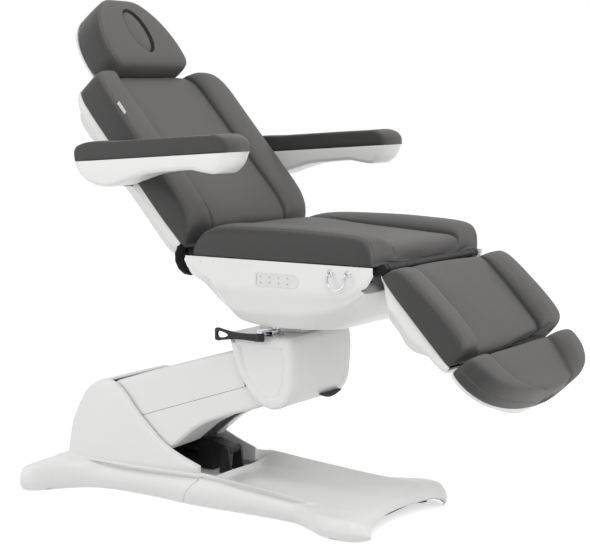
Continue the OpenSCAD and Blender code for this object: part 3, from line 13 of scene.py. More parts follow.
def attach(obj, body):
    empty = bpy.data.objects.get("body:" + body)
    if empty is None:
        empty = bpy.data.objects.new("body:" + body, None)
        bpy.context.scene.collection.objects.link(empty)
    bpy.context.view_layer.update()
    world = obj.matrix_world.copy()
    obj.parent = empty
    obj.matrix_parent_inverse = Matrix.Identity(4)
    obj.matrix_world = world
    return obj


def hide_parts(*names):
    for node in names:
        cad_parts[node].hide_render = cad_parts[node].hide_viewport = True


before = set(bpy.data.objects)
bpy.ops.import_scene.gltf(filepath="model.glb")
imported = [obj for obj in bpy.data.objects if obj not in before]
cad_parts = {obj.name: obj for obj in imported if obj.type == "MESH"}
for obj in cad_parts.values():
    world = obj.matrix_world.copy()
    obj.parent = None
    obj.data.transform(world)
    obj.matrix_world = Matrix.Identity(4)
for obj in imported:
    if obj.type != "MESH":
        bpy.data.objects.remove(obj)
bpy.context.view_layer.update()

bl_info = {
    "name": "Spa treatment table",
    "version": (1, 0, 0),
    "blender": (4, 5, 0),
    "location": "View3D > Sidebar > Table",
    "description": "Upholstery, moulded covers, fittings and studio of a spa treatment table",
    "category": "Object",
}

METRE = 0.001

# Where the moving sections stand
ORIGIN_X = 134.627
SWIVEL_X = -160.0
PIVOT = (-640.131, 225.0)
CARRIER_Z = 384.718
KEEL_Z = 515.718
SEAT_Z = 705.718
HINGE_Z = 699.718
BACK_HINGE_X = -290.0
LEG_HINGE_X = 270.0
BACK_RISE = 48.35
LEG_DROP = 47.4
ARM_RISE = 18.4
HEAD_LEAN = 6.0
REST_RISE = 3.8


class Place:
    """A section's own frame: its origin and its turn about the sideways axis, inside another frame."""

    def __init__(self, x, z, turn=0.0, inside=None):
        self.origin = np.array([x, 0.0, z])
        c, s = math.cos(math.radians(turn)), math.sin(math.radians(turn))
        self.turn = np.array([[c, 0, s], [0, 1, 0], [-s, 0, c]])
        self.inside = inside

    def __call__(self, points):
        out = np.asarray(points, float) @ self.turn.T + self.origin
        return self.inside(out) if self.inside else out

    def along(self, direction):
        out = np.asarray(direction, float) @ self.turn.T
        return self.inside.along(out) if self.inside else out


HEAD_X = 602.5
HEAD_N = -8.0
ARM_PIN = np.array([-275.0, 0.0, 5.0])
TABLE = Place(ORIGIN_X, 0.0)
BACK = Place(BACK_HINGE_X, HINGE_Z, BACK_RISE, TABLE)
LEG = Place(LEG_HINGE_X, HINGE_Z, LEG_DROP, TABLE)
HEAD = Place(-HEAD_X, HEAD_N, HEAD_LEAN, BACK)
ARM = Place(PIVOT[0], PIVOT[1], -ARM_RISE, TABLE)
CARRIER = Place(SWIVEL_X, CARRIER_Z, 0.0, TABLE)
_pin = BACK(ARM_PIN)
REST = Place(_pin[0], _pin[2], -REST_RISE)


# Curves and surfaces

def through(points, count, closed=False, soft=0.35):
    """Cubic curve through points, read at count places along its length.

    A slope is a mix: the harmonic mean of the neighbouring slopes, or zero where they differ in sign, which never
    overshoots, and soft parts of the slope of the parabola through three points, which is rounder.
    """
    p = np.asarray(points, float)
    q = p.reshape(len(p), -1)
    if closed:
        q = np.vstack([q[-3:], q, q[:3]])
    h = np.maximum(np.linalg.norm(np.diff(q, axis=0), axis=1), 1e-6)
    d = np.diff(q, axis=0) / h[:, None]
    a, b, u, v = d[:-1], d[1:], h[:-1, None], h[1:, None]
    product = a * b
    total = (2 * v + u) * b + (v + 2 * u) * a
    steady = np.where(product > 0, 3 * (u + v) * product / np.where(np.abs(total) < 1e-12, 1e-12, total), 0.0)
    slope = np.vstack([d[:1], (1 - soft) * steady + soft * (v * a + u * b) / (u + v), d[-1:]])
    t = np.concatenate([[0.0], np.cumsum(h)])
    first, last = (t[3], t[3 + len(p)]) if closed else (0.0, t[-1])
    s = np.linspace(first, last, count, endpoint=not closed)
    i = np.clip(np.searchsorted(t, s, side="right") - 1, 0, len(h) - 1)
    w = ((s - t[i]) / h[i])[:, None]
    step = h[i][:, None]
    out = ((1 + 2 * w) * (1 - w) ** 2 * q[i] + w * (1 - w) ** 2 * step * slope[i]
           + w * w * (3 - 2 * w) * q[i + 1] + w * w * (w - 1) * step * slope[i + 1])
    return out.reshape((count,) + p.shape[1:])


def across(rows, count, soft=0.35):
    """The same along the second axis of a grid of points."""
    return np.swapaxes(through(np.swapaxes(rows, 0, 1), count, soft=soft), 0, 1)


def mirror_half(half):
    """A half section that ends on the centre plane, made whole: rows of (y, z) points."""
    other = half[..., -2::-1, :] * np.array([-1.0, 1.0])
    return np.concatenate([half, other], axis=-2)


def smoothstep(x, a, b):
    """0 below a, 1 above b, and the cubic 3t^2 - 2t^3 between."""
    t = np.clip((np.asarray(x, float) - a) / (b - a), 0, 1)
    return t * t * (3 - 2 * t)


def inset(ring, d):
    """A closed ring in a plane, moved inwards by d along the mean of its edges' normals."""
    ring = np.asarray(ring, float)
    edge = np.roll(ring, -1, axis=0) - ring
    edge /= np.maximum(np.linalg.norm(edge, axis=1), 1e-9)[:, None]
    normal = np.stack([edge[:, 1], -edge[:, 0]], axis=1)
    area = np.sum(ring[:, 0] * np.roll(ring[:, 1], -1) - np.roll(ring[:, 0], -1) * ring[:, 1])
    normal *= -1.0 if area > 0 else 1.0
    before = np.roll(normal, 1, axis=0)
    mean = normal + before
    mean /= np.maximum(np.linalg.norm(mean, axis=1), 1e-9)[:, None]
    corner = np.maximum(np.sum(mean * normal, axis=1), 0.5)
    return ring + mean * (d / corner)[:, None]


def facing_out(points, faces, caps=()):
    """Faces and many-sided caps of a closed surface as one list, turned round if its signed volume is negative."""
    volume = 0.0
    for group in [faces] + [np.asarray(cap)[None] for cap in caps]:
        for k in range(1, group.shape[1] - 1):
            a, b, c = points[group[:, 0]], points[group[:, k]], points[group[:, k + 1]]
            volume += np.einsum("ij,ij->", a, np.cross(b, c))
    step = -1 if volume < 0 else 1
    return faces[:, ::step].tolist() + [list(cap)[::step] for cap in caps]


def grid_faces(rows, cols, wrap=False):
    i = np.arange(rows * cols).reshape(rows, cols)
    j = np.concatenate([i, i[:, :1]], axis=1) if wrap else i
    return np.stack([j[:-1, :-1], j[:-1, 1:], j[1:, 1:], j[1:, :-1]], axis=-1).reshape(-1, 4)


def walled(outer, inner):
    """Closed wall between two open grids of points: skin, lining, and a strip round their shared border."""
    rows, cols = outer.shape[:2]
    count = rows * cols
    i = np.arange(count).reshape(rows, cols)
    skin = grid_faces(rows, cols)
    edge = np.concatenate([i[0, :-1], i[:-1, -1], i[-1, :0:-1], i[:0:-1, 0]])
    after = np.roll(edge, -1)
    rim = np.stack([after, edge, edge + count, after + count], axis=1)
    points = np.concatenate([outer.reshape(-1, 3), inner.reshape(-1, 3)])
    return points, facing_out(points, np.concatenate([skin, skin[:, ::-1] + count, rim]))


def lofted(rings, ends="face"):
    """Solid through closed rings of points, ended by flat faces or by fans round a middle point."""
    rows, cols = rings.shape[:2]
    points = rings.reshape(-1, 3)
    faces = grid_faces(rows, cols, wrap=True)
    caps = []
    if ends == "face":
        caps = [np.arange(cols)[::-1], np.arange(cols) + (rows - 1) * cols]
    if ends == "fan":
        points = np.concatenate([points, rings[0].mean(0)[None], rings[-1].mean(0)[None]])
        j = np.arange(cols)
        k = (j + 1) % cols
        e = (rows - 1) * cols
        caps = np.concatenate([np.stack([k, j, np.full(cols, rows * cols)], 1),
                               np.stack([j + e, k + e, np.full(cols, rows * cols + 1)], 1)])
    return points, facing_out(points, faces, caps)


def tube(path, radius, sides):
    """A round profile carried along a path, square to it, with flat ends."""
    ahead = np.gradient(path, axis=0)
    ahead /= np.maximum(np.linalg.norm(ahead, axis=1), 1e-9)[:, None]
    steep = np.abs(ahead[:, 2]) > 0.9
    up = np.tile([0.0, 0.0, 1.0], (len(path), 1))
    up[steep | (steep.any() and np.abs(ahead[:, 1]).max() < 0.9)] = [0.0, 1.0, 0.0]
    side = np.cross(ahead, up)
    side /= np.maximum(np.linalg.norm(side, axis=1), 1e-9)[:, None]
    top = np.cross(side, ahead)
    a = np.linspace(0, 2 * np.pi, sides, endpoint=False)
    ring = np.cos(a)[None, :, None] * side[:, None] + np.sin(a)[None, :, None] * top[:, None]
    return lofted(path[:, None] + radius * ring)


def turned_on(axis_at, axis, profile, sides):
    """A profile of (radius, height) points turned round an axis."""
    axis = np.asarray(axis, float) / np.linalg.norm(axis)
    u = np.cross(axis, [0.3, 0.7, 0.64])
    u /= np.linalg.norm(u)
    v = np.cross(axis, u)
    a = np.linspace(0, 2 * np.pi, sides, endpoint=False)
    profile = np.asarray(profile, float)
    ring = np.cos(a)[None, :, None] * u + np.sin(a)[None, :, None] * v
    rings = np.asarray(axis_at, float) + profile[:, 0, None, None] * ring + profile[:, 1, None, None] * axis
    return lofted(rings)


def rounded_box(low, high, r):
    """Box with rounded edges: a square ring whose corners are arcs, drawn in towards its top and bottom."""
    low, high = np.asarray(low, float), np.asarray(high, float)
    r = min(r, *((high - low) / 2.02))
    steps = 4
    a = np.linspace(0, np.pi / 2, steps + 1)
    b = np.linspace(0.1, np.pi / 2, steps + 1)
    corner = np.stack([np.cos(a), np.sin(a)], axis=1)
    quarter = [corner * s for s in ([1, 1], [-1, 1], [-1, -1], [1, -1])]
    quarter = [quarter[0], quarter[1][::-1], quarter[2], quarter[3][::-1]]
    centres = [(high[0] - r, high[1] - r), (low[0] + r, high[1] - r), (low[0] + r, low[1] + r),
               (high[0] - r, low[1] + r)]
    rise = np.stack([r * (1 - np.sin(b)), r * (1 - np.cos(b)) - r * (1 - math.cos(0.1))], 1)
    level = np.concatenate([rise + [0, low[2]], rise[::-1] * [1, -1] + [0, high[2]]])
    rings = [np.concatenate([np.concatenate([np.array(c) + q * max(r - d, 1e-4), np.full((steps + 1, 1), z)], axis=1)
                             for c, q in zip(centres, quarter)]) for d, z in level]
    return lofted(np.array(rings))


def at_y(line, y):
    """Points of a line in x and z, at one sideways place."""
    return np.column_stack([line[:, 0], np.full(len(line), y), line[:, 1]])


def at_z(line, z):
    """Points of a line in x and y, at one height."""
    return np.column_stack([line, np.full(len(line), z)])


def oval(x, half_x, half_y, count):
    """Points of an ellipse round a place on the centre line."""
    a = np.linspace(0, 2 * np.pi, count, endpoint=False)
    return np.column_stack([x + half_x * np.cos(a), half_y * np.sin(a)])


def add_mesh(name, parts, finish, body, sharp=38.0, bevel=0.0, replaces=()):
    """One object from (points, faces) parts in millimetres, smooth apart from edges sharper than an angle."""
    points, faces, base = [], [], 0
    for part_points, part_faces in parts:
        points.append(np.asarray(part_points, float))
        faces += [[v + base for v in face] for face in part_faces]
        base += len(part_points)
    mesh = bpy.data.meshes.new(name)
    mesh.from_pydata((np.concatenate(points) * METRE).tolist(), [], faces)
    mesh.validate()
    obj = bpy.data.objects.new(name, mesh)
    bpy.context.scene.collection.objects.link(obj)
    smooth(obj, sharp)
    mesh.materials.append(finish)
    if bevel:
        soften = obj.modifiers.new("edges", "BEVEL")
        soften.width = bevel * METRE
        soften.segments = 2
        soften.limit_method = "ANGLE"
        soften.angle_limit = math.radians(50)
    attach(obj, body)
    if replaces:
        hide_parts(*replaces)
    return obj


def smooth(obj, sharp=38.0):
    """Shade a mesh smooth, apart from edges sharper than an angle in degrees."""
    obj.data.polygons.foreach_set("use_smooth", np.ones(len(obj.data.polygons), bool))
    obj.data.set_sharp_from_angle(angle=math.radians(sharp))


def settled(obj):
    """Apply an object's modifiers to its mesh."""
    bpy.context.view_layer.update()
    solid = bpy.data.meshes.new_from_object(obj.evaluated_get(bpy.context.evaluated_depsgraph_get()))
    obj.modifiers.clear()
    obj.data = solid
    return obj


def carved(obj, *cutters):
    """Cut closed (points, faces) parts out of an object."""
    for points, faces in cutters:
        mesh = bpy.data.meshes.new("cutter")
        mesh.from_pydata((points * METRE).tolist(), [], faces)
        tool = bpy.data.objects.new("cutter", mesh)
        bpy.context.scene.collection.objects.link(tool)
        cut = obj.modifiers.new("cut", "BOOLEAN")
        cut.operation = "DIFFERENCE"
        cut.solver = "MANIFOLD"
        cut.object = tool
        settled(obj)
        bpy.data.objects.remove(tool)
        bpy.data.meshes.remove(mesh)
    smooth(obj)
    return obj


def drum(x, z, r, y0, y1, sides=96):
    """A plain cylinder along y for cutting."""
    return turned_on([x, y0, z], [0, 1, 0], [[r, 0], [r, y1 - y0]], sides)


def local_block(place, x0, x1, y0, y1, z0, z1):
    """A box in a section's own frame, for cutting."""
    ring = np.array([[x0, y0], [x1, y0], [x1, y1], [x0, y1]], float)
    return lofted(place(np.stack([at_z(ring, z) for z in (z0, z1)])))


def both_sides(place, x0, x1, y0, y1, z0, z1):
    """The same box on the near and on the far side."""
    return [local_block(place, x0, x1, *sorted((side * y0, side * y1)), z0, z1) for side in (-1, 1)]


def moulded(name, parts, body, *nodes, sharp=40.0):
    """A piece of white moulding that stands in for the model's own."""
    return add_mesh(name, parts, finishes()["moulding"], body, sharp, replaces=nodes)


# Shader maths

class Term:
    """A socket that takes part in plain expressions: each operator adds its Math node."""

    def __init__(self, finish, socket):
        self.finish, self.socket = finish, socket

    def math(self, operation, *others):
        return self.finish.node("ShaderNodeMath", {"operation": operation},
                                {i: v for i, v in enumerate((self,) + others)})

    def reflected(self, operation, other):
        return self.finish.node("ShaderNodeMath", {"operation": operation}, {0: other, 1: self})

    def __add__(self, other): return self.math("ADD", other)
    def __sub__(self, other): return self.math("SUBTRACT", other)
    def __mul__(self, other): return self.math("MULTIPLY", other)
    def __radd__(self, other): return self.reflected("ADD", other)
    def __rsub__(self, other): return self.reflected("SUBTRACT", other)
    def __rmul__(self, other): return self.reflected("MULTIPLY", other)
    def clamped(self, low=0.0, high=1.0): return self.math("MAXIMUM", low).math("MINIMUM", high)


class Finish:
    """A procedural material under construction."""

    def __init__(self, name):
        self.material = bpy.data.materials.new(name)
        self.material.use_nodes = True
        self.tree = self.material.node_tree
        self.tree.nodes.clear()
        self.shader = self.tree.nodes.new("ShaderNodeBsdfPrincipled")
        output = self.tree.nodes.new("ShaderNodeOutputMaterial")
        self.tree.links.new(self.shader.outputs[0], output.inputs[0])
        self.place = self.node("ShaderNodeTexCoord", {}, {}, "Object")

    def node(self, kind, settings, values, output=0):
        made = self.tree.nodes.new(kind)
        for key, value in settings.items():
            setattr(made, key, value)
        for key, value in values.items():
            self.feed(made.inputs[key], value)
        return Term(self, made.outputs[output])

    def feed(self, socket, value):
        if isinstance(value, Term):
            self.tree.links.new(value.socket, socket)
        else:
            socket.default_value = value

    def noise(self, scale, detail=3.0, rough=0.5, stretch=None):
        place = self.place
        if stretch:
            place = self.node("ShaderNodeMapping", {}, {"Vector": place, "Scale": stretch})
        return self.node("ShaderNodeTexNoise", {"noise_dimensions": "3D"},
                         {"Vector": place, "Scale": scale, "Detail": detail, "Roughness": rough}, 0)

    def cells(self, scale, feature="F1"):
        return self.node("ShaderNodeTexVoronoi", {"feature": feature}, {"Vector": self.place, "Scale": scale},
                         "Distance")

    def facing(self, axis):
        """How far the surface faces along one axis of the object, from -1 to 1."""
        way = self.node("ShaderNodeTexCoord", {}, {}, "Normal")
        return self.node("ShaderNodeSeparateXYZ", {}, {0: way}, axis)

    def mixed(self, factor, a, b):
        """Colour that goes from a to b as factor goes from 0 to 1."""
        made = self.tree.nodes.new("ShaderNodeMix")
        made.data_type = "RGBA"
        self.feed(made.inputs[0], factor)
        self.feed(made.inputs[6], a)
        self.feed(made.inputs[7], b)
        return Term(self, made.outputs[2])

    def bumped(self, height, distance, strength=1.0):
        return self.node("ShaderNodeBump", {}, {"Height": height, "Distance": distance, "Strength": strength}, "Normal")

    def finish(self, **values):
        names = {"colour": "Base Color", "rough": "Roughness", "metal": "Metallic", "normal": "Normal",
                 "specular": "Specular IOR Level"}
        for key, value in values.items():
            self.feed(self.shader.inputs[names[key]], value)
        return self.material


def shade(colour, factor):
    return tuple(min(1.0, c * factor) for c in colour[:3]) + (1.0,)


_made = {}


def finishes():
    """All the table's materials, made once."""
    if _made:
        return _made
    look = bpy.context.scene.table_colours
    grey, white, dark, bright = (tuple(c) + (1.0,) for c in (look.leather, look.moulding, look.black, look.metal))
    grain = bpy.context.scene.table_sizes.grain

    f = Finish("grey_leather")
    pebble = f.cells(1 / grain, "SMOOTH_F1")
    pores = f.cells(2.3 / grain)
    fold = f.noise(38.0, 4.0, 0.55)
    tone = f.noise(9.0, 3.0, 0.5)
    worn = f.noise(160.0, 2.0)
    # Painted shade: faces that turn sideways, along y, get a copy of the leather at about half its brightness, and the
    # other faces get a lighter copy. So the sides read shaded and the tops lit whatever the lamps do; the tone and wear
    # noise vary both copies.
    side = ((f.facing("Y").math("ABSOLUTE") - 0.3) * 1.7).clamped()
    worn_tone = (tone * 0.65 + worn * 0.35 - 0.12).clamped()
    f.finish(colour=f.mixed(side, f.mixed(worn_tone, shade(grey, 0.98), shade(grey, 1.16)),
                            f.mixed(worn_tone, shade(grey, 0.45), shade(grey, 0.55))),
             rough=(0.44 + 0.1 * tone + 0.08 * pebble).clamped(),
             specular=0.28,
             normal=f.bumped(pebble * 0.6 + pores * 0.25 + fold * 1.6, 0.00042, 0.5))
    _made["leather"] = f.material

    f = Finish("seam_thread")
    twist = f.noise(1500.0, 1.0)
    f.finish(colour=f.mixed(twist, shade(grey, 0.5), shade(grey, 0.8)), rough=0.7, normal=f.bumped(twist, 0.0002, 0.6))
    _made["thread"] = f.material

    f = Finish("leather_piping")
    pebble = f.cells(1.4 / grain, "SMOOTH_F1")
    f.finish(colour=f.mixed(pebble, shade(grey, 0.92), shade(grey, 1.18)), rough=0.44, specular=0.42,
             normal=f.bumped(pebble, 0.0002, 0.5))
    _made["piping"] = f.material

    f = Finish("white_moulding")
    skin = f.noise(420.0, 2.0, 0.45)
    flow = f.noise(3.5, 3.0, 0.5)
    dust = f.noise(26.0, 5.0, 0.6)
    f.finish(colour=f.mixed((flow * 0.6 + dust * 0.4).clamped(), shade(white, 0.965), shade(white, 1.0)),
             rough=(0.24 + 0.1 * dust + 0.04 * flow).clamped(), specular=0.45,
             normal=f.bumped(skin * 0.5 + flow * 1.2, 0.00012, 0.35))
    _made["moulding"] = f.material

    f = Finish("white_paint")
    peel = f.noise(700.0, 2.0)
    tone = f.noise(14.0, 3.0)
    f.finish(colour=f.mixed(tone, shade(white, 0.94), shade(white, 0.99)), rough=(0.3 + 0.12 * tone).clamped(),
             specular=0.5, normal=f.bumped(peel, 0.00012, 0.4))
    _made["paint"] = f.material

    f = Finish("white_key")
    tone = f.noise(60.0, 3.0)
    f.finish(colour=f.mixed(tone, shade(white, 0.86), shade(white, 0.93)), rough=(0.34 + 0.1 * tone).clamped(),
             specular=0.45, normal=f.bumped(tone, 0.0001, 0.4))
    _made["key"] = f.material

    f = Finish("black_powder_coat")
    speck = f.cells(900.0)
    tone = f.noise(20.0, 4.0)
    f.finish(colour=f.mixed(tone, shade(dark, 0.8), shade(dark, 1.7)), rough=(0.45 + 0.15 * tone).clamped(),
             specular=0.45, normal=f.bumped(speck + tone * 0.5, 0.00015, 0.5))
    _made["black_metal"] = f.material

    f = Finish("black_moulding")
    speck = f.noise(900.0, 2.0)
    tone = f.noise(30.0, 4.0)
    f.finish(colour=f.mixed(tone, shade(dark, 0.9), shade(dark, 1.6)), rough=(0.38 + 0.14 * tone).clamped(),
             specular=0.3, normal=f.bumped(speck, 0.0001, 0.4))
    _made["black_plastic"] = f.material

    f = Finish("black_rubber")
    speck = f.noise(600.0, 3.0)
    f.finish(colour=f.mixed(speck, shade(dark, 1.2), shade(dark, 2.4)), rough=(0.62 + 0.15 * speck).clamped(),
             specular=0.35, normal=f.bumped(speck, 0.0003, 0.5))
    _made["rubber"] = f.material

    f = Finish("brushed_steel")
    brush = f.noise(60.0, 3.0, 0.6, (0.35, 24.0, 24.0))
    tone = f.noise(9.0, 3.0)
    f.finish(colour=f.mixed(brush, shade(bright, 0.62), shade(bright, 0.8)), rough=(0.26 + 0.2 * brush).clamped(),
             metal=1.0, normal=f.bumped(brush + tone * 0.2, 0.0001, 0.35))
    _made["steel"] = f.material

    f = Finish("polished_chrome")
    smear = f.noise(40.0, 4.0)
    f.finish(colour=f.mixed(smear, shade(bright, 0.6), shade(bright, 0.9)), rough=(0.07 + 0.1 * smear).clamped(),
             metal=1.0, normal=f.bumped(smear, 0.00005, 0.3))
    _made["chrome"] = f.material

    f = Finish("cloth_tab")
    weave = f.node("ShaderNodeTexWave", {"wave_type": "BANDS", "bands_direction": "X"},
                   {"Vector": f.place, "Scale": 900.0, "Distortion": 0.5}, 1)
    f.finish(colour=f.mixed(weave, shade(white, 0.84), shade(white, 0.98)), rough=0.8,
             normal=f.bumped(weave, 0.0001, 0.4))
    _made["tab"] = f.material
    return _made


# Upholstery

BOLSTER = [(0.982, 0), (0.996, 0.06), (1, 0.3), (1, 0.58), (0.99, 0.8), (0.965, 0.915), (0.92, 0.975), (0.85, 1),
           (0.78, 1)]
SEAM_HALF = 172.0
CHANNEL = 8.0
STITCH = 4.0
THREAD_R = 0.35
SEAT_LOOK = dict(length=538.0, width=590.0, thick=87.0, toward=1.0)
SEAT_STATIONS = [(0, 0.955, 0.03, 0.025), (0.004, 0.965, 0.22, 0.2), (0.018, 0.975, 0.44, 0.42),
                 (0.063, 0.99, 0.74, 0.68), (0.143, 1, 0.93, 0.82), (0.27, 1, 0.99, 0.8), (0.42, 1, 1, 0.72),
                 (0.58, 1, 1, 0.65), (0.757, 1, 0.96, 0.59), (0.89, 1, 0.91, 0.55), (0.95, 0.998, 0.85, 0.53),
                 (0.982, 0.985, 0.74, 0.48), (0.997, 0.968, 0.55, 0.39), (1, 0.96, 0.3, 0.25),
                 (0.998, 0.95, 0.03, 0.025)]
BACK_LOOK = dict(length=560.0, width=590.0, thick=92.0, toward=-1.0)
BACK_STATIONS = [(0, 0.93, 0.05, 0.05), (0.02, 0.955, 0.3, 0.26), (0.06, 0.975, 0.62, 0.5), (0.11, 0.99, 0.82, 0.62),
                 (0.19, 1, 0.93, 0.68), (0.36, 1, 0.96, 0.68), (0.55, 1, 0.97, 0.68), (0.74, 1, 0.98, 0.68),
                 (0.86, 0.99, 1, 0.67), (0.92, 0.965, 1, 0.66), (0.962, 0.92, 0.97, 0.64), (0.988, 0.85, 0.88, 0.58),
                 (1, 0.78, 0.68, 0.46), (1.003, 0.75, 0.35, 0.25), (1.002, 0.74, 0.1, 0.08)]
LEG_LOOK = dict(length=272.0, width=590.0, thick=80.0, toward=1.0)
LEG_STATIONS = [(0, 0.94, 0.05, 0.05), (0.012, 0.955, 0.35, 0.3), (0.05, 0.975, 0.64, 0.46),
                (0.12, 0.99, 0.78, 0.54), (0.25, 1, 0.87, 0.58), (0.45, 1, 0.94, 0.6), (0.65, 1, 0.99, 0.6),
                (0.82, 0.995, 1, 0.59), (0.92, 0.985, 0.95, 0.56), (0.975, 0.965, 0.8, 0.48), (1, 0.94, 0.5, 0.34),
                (0.998, 0.935, 0.04, 0.04)]
FOOT_LOOK = dict(length=148.0, width=590.0, thick=78.0, toward=1.0)
FOOT_STATIONS = [(0, 0.955, 0.35, 0.3), (0.006, 0.962, 0.6, 0.45), (0.02, 0.97, 0.8, 0.58), (0.1, 0.985, 0.94, 0.62),
                 (0.25, 0.975, 0.98, 0.62), (0.42, 0.94, 1, 0.62), (0.58, 0.87, 1, 0.64), (0.72, 0.77, 1, 0.7),
                 (0.83, 0.64, 0.99, 0.8), (0.91, 0.5, 0.96, 0.88), (0.96, 0.36, 0.88, 0.84), (0.99, 0.22, 0.72, 0.7),
                 (1, 0.12, 0.4, 0.38), (0.995, 0.08, 0.05, 0.04)]
LEG_GAP = 22.0
FOOT_X = 311.0
HEAD_LENGTH = 246.0
HEAD_WIDTH = 346.0
HEAD_THICK = 105.0
HEAD_DOME = [(0.9, 0), (0.95, 0.08), (0.99, 0.3), (1, 0.6), (0.985, 0.78), (0.95, 0.9), (0.88, 0.965), (0.75, 0.99),
             (0.4, 1), (0, 1)]
HEAD_STATIONS = [(0, 0.68, 0.05), (0.002, 0.72, 0.3), (0.006, 0.78, 0.6), (0.02, 0.85, 0.86), (0.07, 0.94, 0.97),
                 (0.16, 0.995, 1), (0.28, 1, 1), (0.42, 0.975, 1), (0.56, 0.91, 1), (0.7, 0.8, 1),
                 (0.82, 0.655, 0.99), (0.91, 0.5, 0.97), (0.965, 0.34, 0.9), (0.99, 0.2, 0.72), (1, 0.14, 0.4),
                 (0.995, 0.12, 0.1)]
FACE_HOLE = (154.0, 92.0)
PLUG_GAP = 1.2
PLUG = [(0, 4), (3, 1), (9, 0), (66, 0), (84, 0.4), (91, 1.6), (96, 4.2), (99.5, 8.5), (102, 15), (103.6, 25),
        (104.4, 36), (104.6, 44)]


def cushion_rings(stations, length, width, thick, toward, rows, half_cols, floor_cols=18):
    """Cushion as closed rings across its length.

    A station gives shares of the length, half width, bolster height and middle height. Its half section runs up the
    side, over the bolster, down a slope to the sewn channel and over the low crown of the middle panel.
    """
    table = through(np.array(stations) * [length, width / 2, thick, thick], rows)
    x, w, t, c = table.T
    s = np.minimum(SEAM_HALF, 0.6 * w)
    dip = np.minimum(CHANNEL, c / 3)
    half = [np.stack([-a * w, b * t], 1) for a, b in BOLSTER]
    half += [np.stack([-s - 2.4 * CHANNEL, 0.62 * t + 0.38 * c], 1), np.stack([-s - CHANNEL, 0.3 * t + 0.7 * c], 1),
             np.stack([-s, c - 0.4 * dip], 1), np.stack([-s + CHANNEL, c], 1), np.stack([-s * 0.55, c + dip * 0.5], 1),
             np.stack([0 * s, c + dip * 0.6], 1)]
    half = across(np.stack(half, 1), half_cols, soft=0.25)
    return floored(x * toward, mirror_half(half), floor_cols)


def floored(x, section, floor_cols):
    """Close each section along the bottom and give it its place along the length."""
    share = np.linspace(0, 1, floor_cols + 2)[1:-1, None]
    floor = section[:, -1:, :] * (1 - share) + section[:, :1, :] * share
    ring = np.concatenate([section, floor], axis=1)
    return np.concatenate([np.broadcast_to(x[:, None, None], ring.shape[:2] + (1,)), ring], axis=2)


def head_rings(rows, half_cols):
    """Head cushion: a dome section over half widths that follow its D-shaped outline."""
    table = through(np.array(HEAD_STATIONS) * [HEAD_LENGTH, HEAD_WIDTH / 2, HEAD_THICK], rows)
    x, w, t = table.T
    half = across(np.stack([np.stack([-a * w, b * t], 1) for a, b in HEAD_DOME], 1), half_cols, soft=0.25)
    return floored(-x, mirror_half(half), 14)


def pressed(obj, held, limit, grid):
    """Swell a mesh with Blender's cloth under inner pressure: held points stay, others move by limit at most.

    The moves are then evened out over the mesh's grid, as upholstery that is pulled taut has no creases.
    """
    sizes = bpy.context.scene.table_sizes
    scene = bpy.context.scene
    start = np.empty(len(obj.data.vertices) * 3)
    obj.data.vertices.foreach_get("co", start)
    group = obj.vertex_groups.new(name="held")
    group.add(np.nonzero(held)[0].tolist(), 1.0, "REPLACE")
    cloth = obj.modifiers.new("cloth", "CLOTH")
    s = cloth.settings
    s.quality = 5
    s.mass = 0.4
    s.tension_stiffness = s.compression_stiffness = 30
    s.shear_stiffness = 12
    s.bending_stiffness = 6
    s.use_pressure = True
    s.uniform_pressure_force = sizes.pressure
    s.effector_weights.gravity = 0
    s.vertex_group_mass = "held"
    cloth.point_cache.frame_start = 1
    cloth.point_cache.frame_end = 20
    for step in range(1, 21):
        scene.frame_set(step)
    after = np.empty_like(start)
    moved = obj.evaluated_get(bpy.context.evaluated_depsgraph_get()).to_mesh()
    moved.vertices.foreach_get("co", after)
    obj.modifiers.clear()
    obj.vertex_groups.clear()
    scene.frame_set(1)
    shift = (after - start).reshape(-1, 3)
    far = np.linalg.norm(shift, axis=1)
    shift *= np.minimum(1.0, limit * METRE / np.maximum(far, 1e-9))[:, None]
    calm = shift[:grid[0] * grid[1]].reshape(grid + (3,))
    for step in range(12):
        ends = np.concatenate([calm[:1], calm, calm[-1:]])
        calm = 0.4 * calm + 0.15 * (ends[:-2] + ends[2:] + np.roll(calm, 1, axis=1) + np.roll(calm, -1, axis=1))
    shift[:grid[0] * grid[1]] = calm.reshape(-1, 3) * ~held[:grid[0] * grid[1], None]
    obj.data.vertices.foreach_set("co", (start.reshape(-1, 3) + shift).ravel())
    obj.data.update()


def read_points(obj):
    out = np.empty(len(obj.data.vertices) * 3)
    obj.data.vertices.foreach_get("co", out)
    return out.reshape(-1, 3) / METRE


def read_normals(obj):
    out = np.empty(len(obj.data.vertices) * 3)
    obj.data.vertex_normals.foreach_get("vector", out)
    return out.reshape(-1, 3)


def creased(obj, lines):
    """Press grooves along lines: each point moves in along its normal by depth * exp(-(distance / width)^2)."""
    points, normals = read_points(obj), read_normals(obj)
    shift = np.zeros(len(points))
    for line, depth, width in lines:
        dense = through(line, max(8, int(np.linalg.norm(np.diff(line, axis=0), axis=1).sum() / 1.5)), soft=0.0)
        near = np.all((points > dense.min(0) - 4 * width) & (points < dense.max(0) + 4 * width), axis=1)
        index = np.nonzero(near)[0]
        for chunk in np.array_split(index, max(1, len(index) // 4000)):
            if len(chunk):
                away = np.sqrt(((points[chunk, None] - dense[None]) ** 2).sum(-1).min(1))
                shift[chunk] = np.maximum(shift[chunk], depth * np.exp(-(away / width) ** 2))
    obj.data.vertices.foreach_set("co", ((points - normals * shift[:, None]) * METRE).ravel())
    obj.data.update()


def laid_on(obj, line, lift):
    """A line drawn on a cushion: each point goes to the nearest place of the surface, and out by lift."""
    mesh = obj.data
    tree = BVHTree.FromPolygons([v.co for v in mesh.vertices], [p.vertices for p in mesh.polygons])
    found = [tree.find_nearest(Vector(p * METRE)) for p in line]
    return np.array([np.array(f[0]) / METRE + lift * np.array(f[1]) for f in found])


